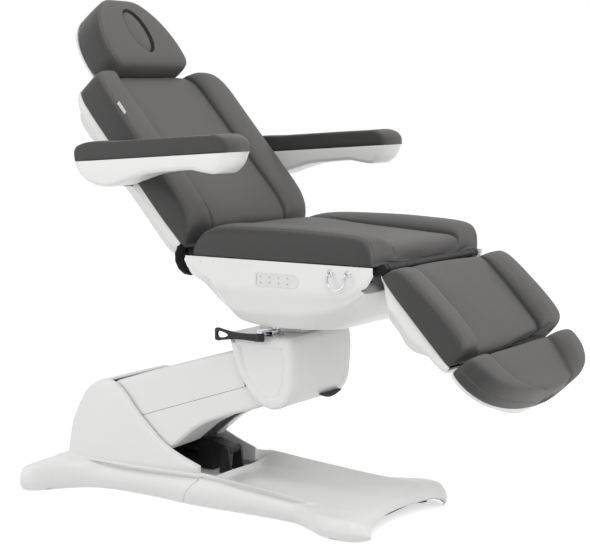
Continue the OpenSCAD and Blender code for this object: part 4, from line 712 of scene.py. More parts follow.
def padded_piece(name, rings, place, body, node, held, lines, limit=9.0):
    """A cushion: its rings in place, swollen by cloth pressure, subdivided, creased along its seams and piped along
    those that have a cord.
    """
    shape = finishes()
    local = rings.reshape(-1, 3)
    points, faces = lofted(place(rings), ends="fan")
    obj = add_mesh(name, [(points, faces)], shape["leather"], body, sharp=180.0, replaces=(node,))
    mask = np.concatenate([held(local), np.ones(2, bool)])
    pressed(obj, mask, limit, rings.shape[:2])
    refine = obj.modifiers.new("refine", "SUBSURF")
    refine.levels = refine.render_levels = 1
    settled(obj)
    smooth(obj, 180.0)
    seams = [(laid_on(obj, place(path), 0.0), depth, width, cord) for path, depth, width, cord in lines]
    creased(obj, [seam[:3] for seam in seams])
    parts = []
    for path, depth, width, cord in seams:
        if cord:
            count = int(np.linalg.norm(np.diff(path, axis=0), axis=1).sum() / 4)
            fine = through(path, count, soft=0.3)
            parts.append(tube(laid_on(obj, fine, cord * 0.35), cord, 8))
    if parts:
        add_mesh(name + "_piping", parts, shape["piping"], body, sharp=60.0)
    return obj


def stitched(name, obj, lines, body):
    """Rows of stitches on a seam: short humps of thread whose height above the leather is |sin| of the length."""
    parts = []
    for line in lines:
        length = np.linalg.norm(np.diff(line, axis=0), axis=1).sum()
        fine = through(line, int(length / STITCH * 4), soft=0.3)
        path = laid_on(obj, fine, 0.0)
        phase = np.arange(len(path)) * np.pi / 4
        normal = laid_on(obj, fine, 1.0) - path
        path = path + normal * (np.abs(np.sin(phase)) * 0.5 - 0.25)[:, None]
        parts.append(tube(path, THREAD_R, 5))
    return add_mesh(name, parts, finishes()["thread"], body, sharp=180.0)


def line_across(stations, look, share, height, count=60, first=0.0, last=1.0):
    """A line along a cushion: a share of each station's half width, at a share of its bolster height."""
    table = through(np.array(stations) * [look["length"], look["width"] / 2, look["thick"], look["thick"]], 240)
    table = table[int(first * 239):int(last * 239) + 1]
    table = table[np.linspace(0, len(table) - 1, count).astype(int)]
    x, w, t, c = table.T
    y = share * w if abs(share) < 2 else np.sign(share) * np.minimum(abs(share), 0.6 * w)
    return np.stack([x * look["toward"], y, height * t if height is not None else c], 1)


class TABLE_OT_cushions(bpy.types.Operator):
    """Make the seat, back, leg and foot cushions with their channels, seams and piping"""
    bl_idname = "table.cushions"
    bl_label = "Cushions"

    def execute(self, context):
        depth = context.scene.table_sizes.channel_depth
        plans = [("seat_leather", SEAT_STATIONS, SEAT_LOOK, Place(ORIGIN_X - 278.0, SEAT_Z + 0.3), "seat",
                  "seat_cushion", (96, 66), 0.3, 0.96),
                 ("back_leather", BACK_STATIONS, BACK_LOOK, Place(-30.0, 0.3, 0.0, BACK), "back", "back_cushion",
                  (100, 66), 0.06, 0.985),
                 ("leg_leather", LEG_STATIONS, LEG_LOOK, Place(LEG_GAP, 0.3, 0.0, LEG), "leg", "leg_cushion",
                  (60, 66), 0.05, 0.96)]
        for name, stations, look, place, body, node, (rows, cols), first, last in plans:
            rings = cushion_rings(stations, rows=rows, half_cols=cols, **look)
            channels = [line_across(stations, look, side * SEAM_HALF, None, 60, first, last) for side in (-1, 1)]
            edges = [line_across(stations, look, side * 0.955, 0.945, 60, 0.1, 0.95) for side in (-1, 1)]
            lines = [(c, depth, 4.5, 0) for c in channels] + [(e, 0.9, 2.2, 0.9) for e in edges]
            obj = padded_piece(name, rings, place, body, node, lambda p: p[:, 2] < 2.0, lines)
            stitched(name + "_stitches", obj, [place(c + [0, d, 0]) for c in channels for d in (-3.2, 3.2)], body)
        rings = cushion_rings(FOOT_STATIONS, rows=54, half_cols=66, **FOOT_LOOK)
        place = Place(FOOT_X, 0.3, 0.0, LEG)
        around = line_across(FOOT_STATIONS, FOOT_LOOK, -0.998, 0.36, 70, 0.1, 0.985)
        around = np.concatenate([around, (around * [1, -1, 1])[::-1]])
        padded_piece("foot_leather", rings, place, "foot", "foot_cushion", lambda p: p[:, 2] < 2.0,
                     [(around, 1.0, 2.2, 0.9)], limit=6.0)
        return {"FINISHED"}


class TABLE_OT_head_rest(bpy.types.Operator):
    """Make the head cushion with its breathing hole, and the oval plug in it"""
    bl_idname = "table.head_rest"
    bl_label = "Head rest"

    def execute(self, context):
        shape = finishes()
        rings = head_rings(76, 58)
        place = Place(0.0, 0.3, 0.0, HEAD)
        points, faces = lofted(place(rings), ends="fan")
        obj = add_mesh("head_leather", [(points, faces)], shape["leather"], "head", 180.0,
                       replaces=("head_cushion",))
        middle = np.array([-HEAD_LENGTH / 2, 0.0])
        local = rings.reshape(-1, 3)
        away = np.hypot((local[:, 0] - middle[0]) / (FACE_HOLE[0] / 2 + 12), local[:, 1] / (FACE_HOLE[1] / 2 + 12))
        pressed(obj, np.concatenate([(local[:, 2] < 2) | ((away < 1) & (local[:, 2] > 60)), np.ones(2, bool)]),
                6.0, rings.shape[:2])
        hole = oval(middle[0], FACE_HOLE[0] / 2, FACE_HOLE[1] / 2, 96)
        carved(obj, lofted(place(np.stack([at_z(hole, z) for z in (-20.0, 140.0)]))))
        smooth(obj, 40.0)
        soften = obj.modifiers.new("lip", "BEVEL")
        soften.width = 0.006
        soften.segments = 4
        soften.limit_method = "ANGLE"
        soften.angle_limit = math.radians(55)
        settled(obj)
        smooth(obj, 60.0)
        table = through(np.array(HEAD_STATIONS) * [HEAD_LENGTH, HEAD_WIDTH / 2, HEAD_THICK], 240)[24:226:3]
        x, w, t = table.T
        side = np.stack([-x, -w * 0.945, t * 0.91], 1)
        crown = np.concatenate([side, (side * [1, -1, 1])[::-1]])
        path = laid_on(obj, place(crown), 0.0)
        creased(obj, [(path, 0.8, 2.2)])
        add_mesh("head_leather_piping", [tube(laid_on(obj, through(path, 150), 0.3), 0.9, 8)], shape["piping"],
                 "head", 60.0)
        rings = [at_z(oval(middle[0], FACE_HOLE[0] / 2 - PLUG_GAP - d, FACE_HOLE[1] / 2 - PLUG_GAP - d * 0.97, 96), z)
                 for z, d in through(np.array(PLUG, float), 40, soft=0.2)]
        plug = add_mesh("face_plug_leather", [lofted(place(np.stack(rings)), ends="fan")], shape["leather"],
                        "face_plug",
                        180.0, replaces=("face_plug",))
        return {"FINISHED"}


# Moulded covers

def tray_rows(stations, length, width, depth, box, thin=0.0):
    """Tray under a cushion: half sections with a lip, a shelf and a deeper box."""
    table = np.array(stations, float)
    x = table[:, 0] * length
    low, high = sorted((x[0], x[-1]))
    x = np.clip(x, low + thin, high - thin)
    w = table[:, 1] * width / 2 - thin
    d = np.maximum(table[:, 2] * depth - thin, 1.0)
    half = np.stack([np.stack(p, 1) for p in (
        (-w, 0 * d), (-w + 0.6, -0.16 * d), (-w + 2, -0.3 * d), (-w * 0.965, -0.42 * d),
        (-w * (0.5 + box / 2), -0.46 * d), (-w * (box + 0.03), -0.52 * d), (-w * (box + 0.006), -0.68 * d),
        (-w * box, -0.85 * d), (-w * (box - 0.016), -0.95 * d), (-w * (box - 0.06), -d), (-w * (box - 0.3), -d),
        (0 * w, -d))], 1)
    whole = mirror_half(half)
    return np.concatenate([np.broadcast_to(x[:, None, None], whole.shape[:2] + (1,)), whole], 2)


def smooth_walled(make, rows, cols, wall=4.0, soft=0.3):
    """Wall between the smooth surface through a grid and the one through its thinner copy."""
    outer = across(through(make(0.0), rows, soft=soft), cols, soft=soft)
    inner = across(through(make(wall), rows, soft=soft), cols, soft=soft)
    return outer, inner


BACK_TRAY = [(-0.06, 0.95, 0.7), (-0.14, 0.96, 0.95), (-0.3, 0.965, 0.96), (-0.5, 0.965, 0.97), (-0.7, 0.965, 1),
             (-0.86, 0.965, 1.02), (-0.95, 0.955, 0.98), (-0.985, 0.94, 0.8), (-1.015, 0.92, 0.5), (-1.03, 0.9, 0.2),
             (-1.032, 0.88, 0.12)]
LEG_TRAY = [(0.07, 0.93, 0.1), (0.085, 0.932, 0.18), (0.14, 0.934, 0.3), (0.2, 0.95, 0.53), (0.26, 0.955, 0.77),
            (0.32, 0.96, 0.98), (0.36, 0.96, 1), (0.5, 0.96, 1.01), (0.61, 0.96, 1.05), (0.7, 0.96, 1),
            (0.77, 0.96, 0.86), (0.84, 0.96, 0.74), (0.98, 0.96, 0.7), (1.05, 0.955, 0.6), (1.085, 0.95, 0.4),
            (1.095, 0.945, 0.3)]
HEAD_TRAY = [(-0.02, 0.6, 0.3), (-0.05, 0.78, 0.75), (-0.12, 0.88, 1), (-0.3, 0.93, 1), (-0.5, 0.9, 1),
             (-0.7, 0.78, 1), (-0.85, 0.6, 0.95), (-0.94, 0.42, 0.75), (-0.99, 0.24, 0.4), (-1.0, 0.14, 0.2)]


class TABLE_OT_shells(bpy.types.Operator):
    """Make the moulded shells behind the back, leg, foot and head cushions"""
    bl_idname = "table.shells"
    bl_label = "Cushion shells"

    def execute(self, context):
        def shell(name, place, body, node, rows, cols, *plan):
            outer, inner = smooth_walled(lambda thin: tray_rows(*plan, thin=thin), rows, cols)
            return moulded(name, [walled(place(outer), place(inner))], body, node)

        back = shell("back_moulding", BACK, "back", "back_shell", 84, 108, BACK_TRAY, 560.0, 590.0, 76.0, 0.86)
        turn = BACK(np.array([[0, 0, 0]]))[0]
        cutters = [drum(turn[0], turn[2], 47.3, -290, 290), local_block(BACK, -24, 300, -300, 300, -300, 3)]
        cutters += both_sides(BACK, ARM_PIN[0] - 15, ARM_PIN[0] + 15, 236.0, 300.0, -27.0, 3)
        cutters += [local_block(BACK, -700, -560, -63, 63, -43.6, -25.6)]
        cutters += both_sides(BACK, -72, 1, 205.0, 249.0, -31.0, 3)
        carved(back, *cutters)
        leg = shell("leg_moulding", LEG, "leg", "leg_shell", 84, 108, LEG_TRAY, 272.0, 590.0, 97.0, 0.72)
        carved(leg, *both_sides(LEG, 245, 420, 54.0, 86.0, -43.6, -25.6), local_block(LEG, 0, 58, -137, -103, -97, 2),
               *both_sides(LEG, 0, 109, 205.0, 235.0, -48.5, 2))
        depths = [0.25] + [1.0] * 10 + [0.5, 0.25]
        plan = [(station[0], station[1] * 0.985, depth) for station, depth in zip(FOOT_STATIONS, depths)]
        shell("foot_moulding", Place(FOOT_X, 0.0, 0.0, LEG), "foot", "foot_shell", 60, 96, plan, 148.0, 590.0, 28.3,
              0.8)
        head = shell("head_moulding", HEAD, "head", "head_shell", 60, 84, HEAD_TRAY, HEAD_LENGTH, HEAD_WIDTH, 24.0, 0.8)
        hole = oval(-HEAD_LENGTH / 2, 69, 38, 72)
        carved(head, lofted(HEAD(np.stack([at_z(hole, z) for z in (-60.0, 30.0)]))))
        return {"FINISHED"}


# Base

BASE_REAR = PIVOT[0] - 250.0
BASE_LENGTH = 1105.0
RIDGE = 84.0
RIDGE_Y = 165.0
COVER = [(0, 0.955, 0.30, 0.36, 0.36, 0), (0.002, 0.965, 0.66, 0.70, 0.70, 0), (0.014, 1, 0.86, 0.92, 0.92, 0),
         (0.04, 0.985, 0.90, 0.98, 0.98, 0), (0.075, 0.84, 0.92, 0.99, 0.99, 0), (0.11, 0.69, 0.93, 0.97, 0.95, 0),
         (0.16, 0.575, 0.92, 0.97, 0.90, 0), (0.25, 0.53, 0.90, 1, 0.90, 0), (0.35, 0.54, 0.92, 1.02, 0.88, 0),
         (0.44, 0.57, 0.98, 1.1, 0.78, 0), (0.49, 0.575, 1.0, 1.12, 0.62, 0), (0.52, 0.576, 1.0, 1.1, 0.6, 0),
         (0.61, 0.575, 0.92, 1.0, 0.6, 0), (0.70, 0.58, 0.84, 0.92, 0.6, 0.02), (0.77, 0.61, 0.76, 0.86, 0.6, 0.06),
         (0.83, 0.72, 0.72, 0.82, 0.62, 0.14), (0.88, 0.84, 0.72, 0.80, 0.66, 0.30),
         (0.93, 0.89, 0.74, 0.80, 0.7, 0.52), (0.965, 0.87, 0.72, 0.76, 0.7, 0.74),
         (0.99, 0.80, 0.58, 0.62, 0.6, 0.92), (1, 0.72, 0.3, 0.36, 0.36, 1)]
SEAM_ROW = 9
SEAM_LEAN = 62.0
SEAM_GAP = np.array([1.5, 0, 0])


def cover_rows(first, last, thin):
    """Base cover stations: half sections over the foot, the ridge and the sunk middle, drawn back at the front."""
    table = np.array(COVER)
    share, wide, foot, ridge, mid, back = table.T
    full = np.where(share < 0.5, 638.0, 638.0 + (568.0 - 638.0) * np.clip((share - 0.5) * 2.5, 0, 1))
    w = wide * full / 2 - thin
    f, r, m = (np.maximum(v * RIDGE - thin, 5.0) for v in (foot, ridge, mid))
    o = 0 * w
    half = np.stack([np.stack(p, 1) for p in (
        (-w + 8, o + 4), (-w, f * 0.45), (-w + 4, f * 0.72), (-w + 14, f * 0.93),
        (-(w * 0.7 + RIDGE_Y * 0.3) + 14, f), (-RIDGE_Y - 10 + o, (f + r) / 2), (-RIDGE_Y + o, r),
        (-RIDGE_Y + 14 + o, r * 0.7 + m * 0.3), (-RIDGE_Y + 34 + o, m), (o, m))], 1)
    whole = mirror_half(half)
    x = np.clip(BASE_REAR + share * BASE_LENGTH, BASE_REAR + thin, BASE_REAR + BASE_LENGTH - thin)[:, None]
    lean = np.where(np.arange(len(table)) == SEAM_ROW, SEAM_LEAN, 0.0)[:, None]
    x = x + lean * (whole[..., 1] / RIDGE) ** 1.6 - back[:, None] * 46.0 * (1 - (whole[..., 0] / w[:, None]) ** 2)
    return np.concatenate([x[..., None], whole], 2)[first:last + 1]


CHEEK = [(0, 0.27), (0.045, 0.585), (0.1, 0.755), (0.163, 0.892), (0.242, 0.975), (0.308, 1), (0.374, 0.98),
         (0.446, 0.9), (0.53, 0.76), (0.64, 0.605), (0.74, 0.484), (0.85, 0.405), (1, 0.325)]
CHEEK_X = PIVOT[0] - 212.0
CHEEK_SIZE = (480.0, 314.0)


def rounded_slab(ring, y0, y1, r, steps):
    """A ring in x and z made thick along y: its outer edge is a quarter circle, made by insets of r * (1 - cos a)."""
    a = np.linspace(0, np.pi / 2, steps)
    levels = [(0.0, y0)] + [(r * (1 - np.cos(t)), y1 - r + r * np.sin(t)) for t in a]
    return np.array([at_y(inset(ring, d), y) for d, y in levels])


class TABLE_OT_base(bpy.types.Operator):
    """Make the two base covers and the tower that hides the arm's lower pivots"""
    bl_idname = "table.base"
    bl_label = "Base"

    def execute(self, context):
        outer, inner = smooth_walled(lambda thin: cover_rows(SEAM_ROW, len(COVER) - 1, thin), 120, 132)
        moulded("front_base_moulding", [walled(TABLE(outer + SEAM_GAP), TABLE(inner + SEAM_GAP))], "base",
                "front_base_cover", sharp=44.0)
        outer, inner = smooth_walled(lambda thin: cover_rows(0, SEAM_ROW, thin), 100, 132)
        rear = moulded("rear_base_moulding", [walled(TABLE(outer), TABLE(inner))], "base", "rear_base_cover",
                       sharp=44.0)
        carved(rear, local_block(TABLE, CHEEK_X + 12, PIVOT[0] + 500, -134, 134, -20, 314))
        top = through(np.array(CHEEK) * CHEEK_SIZE + [CHEEK_X, 0.0], 90, soft=0.8)
        foot = np.array([(CHEEK_X + 480.0, 62.0), (CHEEK_X, 62.0)])
        ring = np.concatenate([top, foot])
        cheek = TABLE(rounded_slab(ring, 132.0, 148.0, 13.0, steps=8))
        parts = [lofted(cheek), lofted(cheek * [1, -1, 1])]
        apex = int(np.argmax(top[:, 1])) + 2
        y = np.linspace(-133.0, 133.0, 16)
        roof, under = (np.stack([at_y(line, v) for v in y]) for line in (top[:apex], inset(ring, 4.0)[:apex]))
        parts.append(walled(TABLE(roof), TABLE(under)))
        moulded("tower_moulding", parts, "base")
        deck = moulded("inner_deck", [local_block(TABLE, -712, -362, -130.5, 130.5, 46, 49)], "base")
        slots = [(-414, -366, 4, 16), (-414, -366, 64, 76), (-694, -586, 98, 112), (-694, -586, -112, -98)]
        carved(deck, *[local_block(TABLE, *slot, 30, 60) for slot in slots])
        return {"FINISHED"}


# Lift

ARM_L = 506.0
ARM_HALF = 127.0
ARM_R = 92.0
ARM_SEAM = -22.0
ARM_BACK = [(0, 1), (0.2, 0.99), (0.4, 0.97), (0.62, 0.93), ((ARM_L - 76) / ARM_L, 0.88)]
BELLY = [(0.07, -0.32), (0.105, -1.3), (0.16, -1.5), (0.22, -1.48), (0.33, -1.27), (0.44, -1.06), (0.56, -0.96),
         (0.7, -0.94), (0.84, -0.945), (0.95, -0.935)]


def trough_grid(x, height, y_in, r, side_points=8, thin=0.0):
    """Channel section at each x: up the side from the seam, round a corner of radius r, and in to y_in.

    Height is measured from the seam, upwards for the upper cover and downwards for the lower one.
    """
    size = np.abs(height)
    r = np.minimum(r, size * 0.95)[:, None]
    half = ARM_HALF - thin
    a = np.linspace(0, np.pi / 2, 9)[None]
    side = np.linspace(0, 1, side_points)[None, :-1]
    corner = np.maximum(size[:, None] - r, 0)
    side_z = side * corner
    flat = np.linspace(0, 1, 12)[None, 1:]
    y_flat = (half - r) + (y_in[:, None] - (half - r)) * flat
    y = np.concatenate([np.full_like(side_z, half), half - r + r * np.cos(a), y_flat], axis=1)
    z = np.concatenate([side_z, corner + r * np.sin(a), np.repeat(size[:, None], 11, axis=1)], axis=1)
    return np.stack([np.broadcast_to(x[:, None], y.shape), -y, np.sign(height)[:, None] * z + ARM_SEAM], axis=2)


class TABLE_OT_lift_arm(bpy.types.Operator):
    """Make the two covers of the lift arm, with the dark slot along their belly"""
    bl_idname = "table.lift_arm"
    bl_label = "Lift arm"

    def execute(self, context):
        a = np.radians(np.linspace(193.5, 90, 40))
        back = through(np.array(ARM_BACK) * [ARM_L, ARM_R], 40)
        top = np.concatenate([np.stack([ARM_R * np.cos(a), ARM_R * np.sin(a)], 1), back[1:]])
        nose = lambda thin: trough_grid(np.maximum(top[:, 0], -ARM_R + 3 + thin),
                                        np.maximum(top[:, 1] - ARM_SEAM - thin, 0.6),
                                        np.zeros(len(top)), 13.0, thin=thin)
        outer, inner = nose(0.0), nose(4.0)
        whole = lambda g: ARM(np.concatenate([g, (g * [1, -1, 1])[:, -2::-1]], axis=1))
        moulded("arm_upper_moulding", [walled(whole(outer), whole(inner))], "lift_arm", "arm_upper_cover")
        under = through(np.array(BELLY) * [ARM_L, ARM_R], 90, soft=0.5)
        x, z = under.T
        near_to = 118.0 - 115.0 * smoothstep(x, 118, 134)
        far_to = 118.0 - 38.0 * smoothstep(x, 118, 134) - 79.4 * smoothstep(x, 262, 284)
        seam = np.array([0, 0, 1.1])
        belly = lambda thin, to: trough_grid(x, np.minimum(z - ARM_SEAM + thin, -0.6), to, 13.0, thin=thin) - seam
        near = [ARM(belly(thin, near_to)) for thin in (0.0, 4.0)]
        far = [ARM(belly(thin, far_to) * [1, -1, 1]) for thin in (0.0, 4.0)]
        moulded("arm_lower_moulding", [walled(*near), walled(*far)], "lift_arm", "arm_lower_cover")
        return {"FINISHED"}


CARRIER_SIDE = [(-1.08, 1.012), (-0.97, 0.64), (-0.79, 0.03), (-0.54, -0.35), (-0.26, -0.68), (0.02, -0.88),
                (0.37, -0.95), (0.72, -0.83), (0.92, -0.55), (1.03, 0.04), (1.03, 0.78), (0.99, 0.94), (0.92, 1.012)]
CARRIER_H = 100.0
CARRIER_HALF = 151.0
CAP_SEAM = 117.0


def carrier_ring(count):
    """Side outline of the carrier: a smooth curve from the top rear edge round the belly to the top front edge."""
    curve = through(np.array(CARRIER_SIDE) * CARRIER_H, count, soft=0.8)
    top = np.linspace(curve[-1], curve[0], 26)[1:-1]
    return np.concatenate([curve, top])


def inside_sweep(ring):
    """Which points of a ring lie where the arm swings through the carrier: angles from the pivot, as numbers 0 to 1."""
    angle = np.degrees(np.arctan2(ring[:, 1], ring[:, 0])) % 360
    return smoothstep(angle, 138, 140) * (1 - smoothstep(angle, 307, 310))


def crescent():
    """Dark strip under the carrier's front edge, in the rubber finish, drawn to the outline of a dark patch there: a
    strip along y whose lower edge hangs by a sine of its length.
    """
    s = np.linspace(0, 1, 40)
    a = np.linspace(0, 2 * np.pi, 20, endpoint=False)
    drop = 1.0 + 12.0 * np.sin(np.pi * s) ** 0.8
    return lofted(CARRIER(np.array([
        at_y(np.column_stack([89.6 + 8.0 * np.cos(a), -72.0 - d / 2 + (1.5 + d / 2) * np.sin(a)]), y)
        for y, d in zip(14 + 92 * s, drop)])))


class TABLE_OT_carrier(bpy.types.Operator):
    """Make the carrier's wrapped cover and its two dished end caps"""
    bl_idname = "table.carrier"
    bl_label = "Carrier"

    def execute(self, context):
        ring = carrier_ring(130)
        middle = np.array([0.0, CARRIER_H / 10])
        a = np.linspace(0, np.pi / 2, 9)
        r = 14.0
        share = np.concatenate([np.linspace(*run)[1:] for run in ((1, 0.84, 6), (0.84, 0.72, 14), (0.72, 0.03, 16))])
        rows = []
        inside = inside_sweep(ring)
        start = CAP_SEAM + 12.5 * inside
        for t in np.linspace(0, 1, 5)[:-1]:
            rows.append(np.column_stack([ring[:, 0], start + (CARRIER_HALF - r - start) * t, ring[:, 1]]))
        for t in a:
            moved = inset(ring, r * (1 - np.cos(t)))
            rows.append(at_y(moved, CARRIER_HALF - r + r * np.sin(t)))
        edge = inset(ring, r)
        for s in share:
            lean = (edge - middle) * s + middle
            dish = 8.0 * smoothstep(1 - s, 0.13, 0.27)
            y = CARRIER_HALF + 0.8 * smoothstep(1 - s, 0, 0.12) - dish - 1.2 * smoothstep(1 - s, 0.3, 1)
            rows.append(at_y(lean, y))
        outer = np.array(rows)
        inner = outer.copy()
        flat = inset(ring, 4.0)
        for k in range(len(inner)):
            if k < 4:
                inner[k, :, 0], inner[k, :, 2] = flat[:, 0], flat[:, 1]
            else:
                inner[k, :, 1] = np.maximum(inner[k, :, 1] - 4.0, start + 0.2)
                inner[k, :, 0] += (middle[0] - inner[k, :, 0]) * 0.03
                inner[k, :, 2] += (middle[1] - inner[k, :, 2]) * 0.03
        close = lambda g: CARRIER(np.concatenate([g, g[:, :1]], axis=1))
        for name, side, node in (("carrier_near_moulding", -1, "carrier_near_cap"),
                                 ("carrier_far_moulding", 1, "carrier_far_cap")):
            flip = np.array([1, side, 1])
            moulded(name, [closed_cup(close(outer * flip), close(inner * flip))], "carrier", node)
        front = ring[inside < 0.5]
        angle = np.degrees(np.arctan2(front[:, 1], front[:, 0])) % 360
        front = front[np.argsort((angle - 300) % 360)]
        lining = (front - middle) * 0.962 + middle
        y = np.linspace(-CAP_SEAM + 0.4, CAP_SEAM - 1.1, 20)
        strip = lambda line: CARRIER(np.stack([at_y(line, v) for v in y]))
        moulded("carrier_moulding", [walled(strip(front), strip(lining))], "carrier")
        # A dark strip under the carrier's front edge, drawn to the outline of a dark patch there.
        add_mesh("dark_strip_rubber", [crescent()], finishes()["rubber"], "carrier", 50.0,
                 replaces=("carrier_bumper",))
        return {"FINISHED"}


def closed_cup(outer, inner):
    """Wall between two wrapped grids whose last ring closes on a middle point and whose first ring is open."""
    rows, cols = outer.shape[0], outer.shape[1] - 1
    count = rows * cols
    skin = grid_faces(rows, cols, wrap=True)
    i = np.arange(cols)
    j = (i + 1) % cols
    rim = np.stack([j, i, i + count, j + count], axis=1)
    points = np.concatenate([outer[:, :-1].reshape(-1, 3), inner[:, :-1].reshape(-1, 3)])
    last = (rows - 1) * cols
    caps = [np.arange(cols) + last, (np.arange(cols) + last + count)[::-1]]
    return points, facing_out(points, np.concatenate([skin, skin[:, ::-1] + count, rim]), caps)


# Seat pan and its fittings

PAN = [(-0.55, 0.985, 0.10, 0.985, 0.10), (-0.515, 1, 0.24, 0.95, 0.26), (-0.487, 0.99, 0.29, 0.9, 0.34),
       (-0.452, 0.96, 0.33, 0.84, 0.50), (-0.418, 0.93, 0.385, 0.78, 0.66), (-0.38, 0.92, 0.52, 0.72, 0.80),
       (-0.33, 0.91, 0.66, 0.68, 0.93), (-0.25, 0.9, 0.7, 0.65, 0.985), (-0.1, 0.9, 0.71, 0.64, 1),
       (0.05, 0.9, 0.7, 0.63, 0.985), (0.17, 0.9, 0.655, 0.6, 0.955), (0.25, 0.91, 0.6, 0.58, 0.88),
       (0.32, 0.92, 0.54, 0.58, 0.77), (0.37, 0.94, 0.48, 0.6, 0.63), (0.42, 0.96, 0.38, 0.66, 0.47),
       (0.46, 0.98, 0.27, 0.8, 0.31), (0.5, 0.99, 0.1, 0.985, 0.1)]
PAN_DEPTH = 190.0
PAN_HALF = 293.0
SEAT_L = 538.0
KEY = dict(x=-8.0, z=SEAT_Z - 47.0, w=132.0, h=36.0, pitch=27.0, row=15.0)


def pan_rows(thin):
    """Seat pan stations: a flat band under the rim, a slope to the crease, and a slope to the keel."""
    table = np.array(PAN)
    share, cw, cz, kw, kz = table.T
    d = (PAN_DEPTH - thin) / PAN_DEPTH
    cz, kz = cz * d, kz * d
    w = np.full(len(table), PAN_HALF - thin)
    band = np.minimum(0.36, cz * 0.7) * PAN_DEPTH
    half = np.stack([np.stack(p, 1) for p in (
        (-w, 0 * w), (-w, -band * 0.5), (-w, -band * 0.96), (-w + 0.6, -band * 1.04),
        (-w * (0.35 + 0.65 * cw), -(band + 2 * cz * PAN_DEPTH) / 3), (-w * cw, -cz * PAN_DEPTH),
        (-w * (cw * 0.6 + kw * 0.4), -(cz * 0.55 + kz * 0.45) * PAN_DEPTH),
        (-w * kw, -kz * PAN_DEPTH * 0.975), (-w * kw * 0.7, -kz * PAN_DEPTH), (0 * w, -kz * PAN_DEPTH))], 1)
    whole = mirror_half(half)
    x = np.clip(share * SEAT_L, SEAT_L * PAN[0][0] + thin, SEAT_L * PAN[-1][0] - thin)
    return np.concatenate([np.broadcast_to(x[:, None, None], whole.shape[:2] + (1,)), whole + [0, SEAT_Z]], 2)


class TABLE_OT_seat_pan(bpy.types.Operator):
    """Make the deep moulded pan under the seat"""
    bl_idname = "table.seat_pan"
    bl_label = "Seat pan"

    def execute(self, context):
        outer, inner = smooth_walled(pan_rows, 110, 132, soft=0.35)
        pan = moulded("seat_moulding", [walled(TABLE(outer), TABLE(inner))], "seat", "seat_pan")
        back, leg = TABLE(np.array([[BACK_HINGE_X, 0, HINGE_Z], [LEG_HINGE_X, 0, HINGE_Z]]))
        carved(pan, drum(back[0], back[2], 49.5, -288, 288), drum(leg[0], leg[2], 64.0, -288, 288),
               local_block(TABLE, BACK_HINGE_X, BACK_HINGE_X + 54, 94, 146, HINGE_Z - 78, HINGE_Z - 20),
               local_block(TABLE, SWIVEL_X - 76, SWIVEL_X + 76, -55, 55, KEEL_Z - 95, KEEL_Z + 48))
        a = np.radians(np.linspace(174, 247, 60))
        arcs = [np.column_stack([r * np.cos(a), r * np.sin(a)]) for r in (64.4, 67.0)]
        spans = [np.linspace(*ends, 12) for ends in ((-288.6, -146.0), (-94.0, 288.6))]
        lining = moulded("leg_hinge_lining", [walled(*[np.stack([leg + at_y(arc, v) for v in y]) for arc in arcs])
                                              for y in spans], "seat")
        carved(lining, *both_sides(TABLE, 180, 300, 204.0, 251.0, HINGE_Z - 40, HINGE_Z + 20))
        return {"FINISHED"}


class TABLE_OT_fittings(bpy.types.Operator):
    """Make the keypad, its key marks, the towel hook, the swivel block, the hinge drum and the small screws"""
    bl_idname = "table.fittings"
    bl_label = "Fittings"

    def execute(self, context):
        shape = finishes()
        keypad(shape)
        towel_hook(shape)
        swivel_block(shape)
        hinge_drum(shape)
        screws(shape)
        tab(shape)
        return {"FINISHED"}


def key_places():
    i = np.arange(8)
    x = KEY["x"] - KEY["w"] * 0.06 + (i // 2 - 1.5) * KEY["pitch"]
    z = KEY["z"] + np.where(i % 2 == 0, 0.5, -0.5) * KEY["row"]
    return np.column_stack([x, z])


def keypad(shape):
    """A thin plate with one round end and a soft edge; a round cap for each key and a small arrow on it."""
    a = np.linspace(-np.pi / 2, np.pi / 2, 24)
    x0, x1, h = KEY["x"] - KEY["w"] / 2, KEY["x"] + (KEY["w"] - KEY["h"]) / 2, KEY["h"] / 2
    end = np.column_stack([x1 + h * np.cos(a), KEY["z"] + h * np.sin(a)])
    b = np.linspace(0, np.pi / 2, 6)
    r = 4.0
    left = np.concatenate([np.column_stack([x0 + r - r * np.sin(b), KEY["z"] + h - r + r * np.cos(b)]),
                           np.column_stack([x0 + r - r * np.cos(b), KEY["z"] - h + r - r * np.sin(b)])])
    ring = np.concatenate([end, left])
    profile = [(0, -6), (0, 0.6), (0.3, 1.3), (0.9, 1.8), (2.0, 2.0), (3.4, 2.0), (4.0, 1.5), (5.0, 1.5)]
    rings = [at_y(inset(ring, d), -PAN_HALF - height) for d, height in profile]
    add_mesh("keypad_plate", [lofted(TABLE(np.array(rings)))], shape["key"], "seat", 50.0,
             replaces=("keypad",))
    for i, (x, z) in enumerate(key_places()):
        centre = TABLE(np.array([x, -PAN_HALF, z]))
        cap = [(3.15, 1.4), (3.15, 2.3), (3.0, 2.6), (2.7, 2.75), (1.2, 2.7), (0.05, 2.65)]
        body = f"button_{i + 1}"
        add_mesh(f"key_cap_{i + 1}", [turned_on(centre, [0, -1, 0], cap, 28)], shape["key"], body,
                 50.0, replaces=(body,))
        flip = 1 if i % 2 == 0 else -1
        arrow = np.array([(-1.7, -1.0), (1.7, -1.0), (0, 1.7)]) * [1, flip]
        prism = np.stack([at_y(arrow + [x, z], -PAN_HALF - height) for height in (2.5, 2.85)])
        add_mesh(f"key_mark_{i + 1}", [lofted(TABLE(prism))], shape["black_plastic"], body, 30.0)


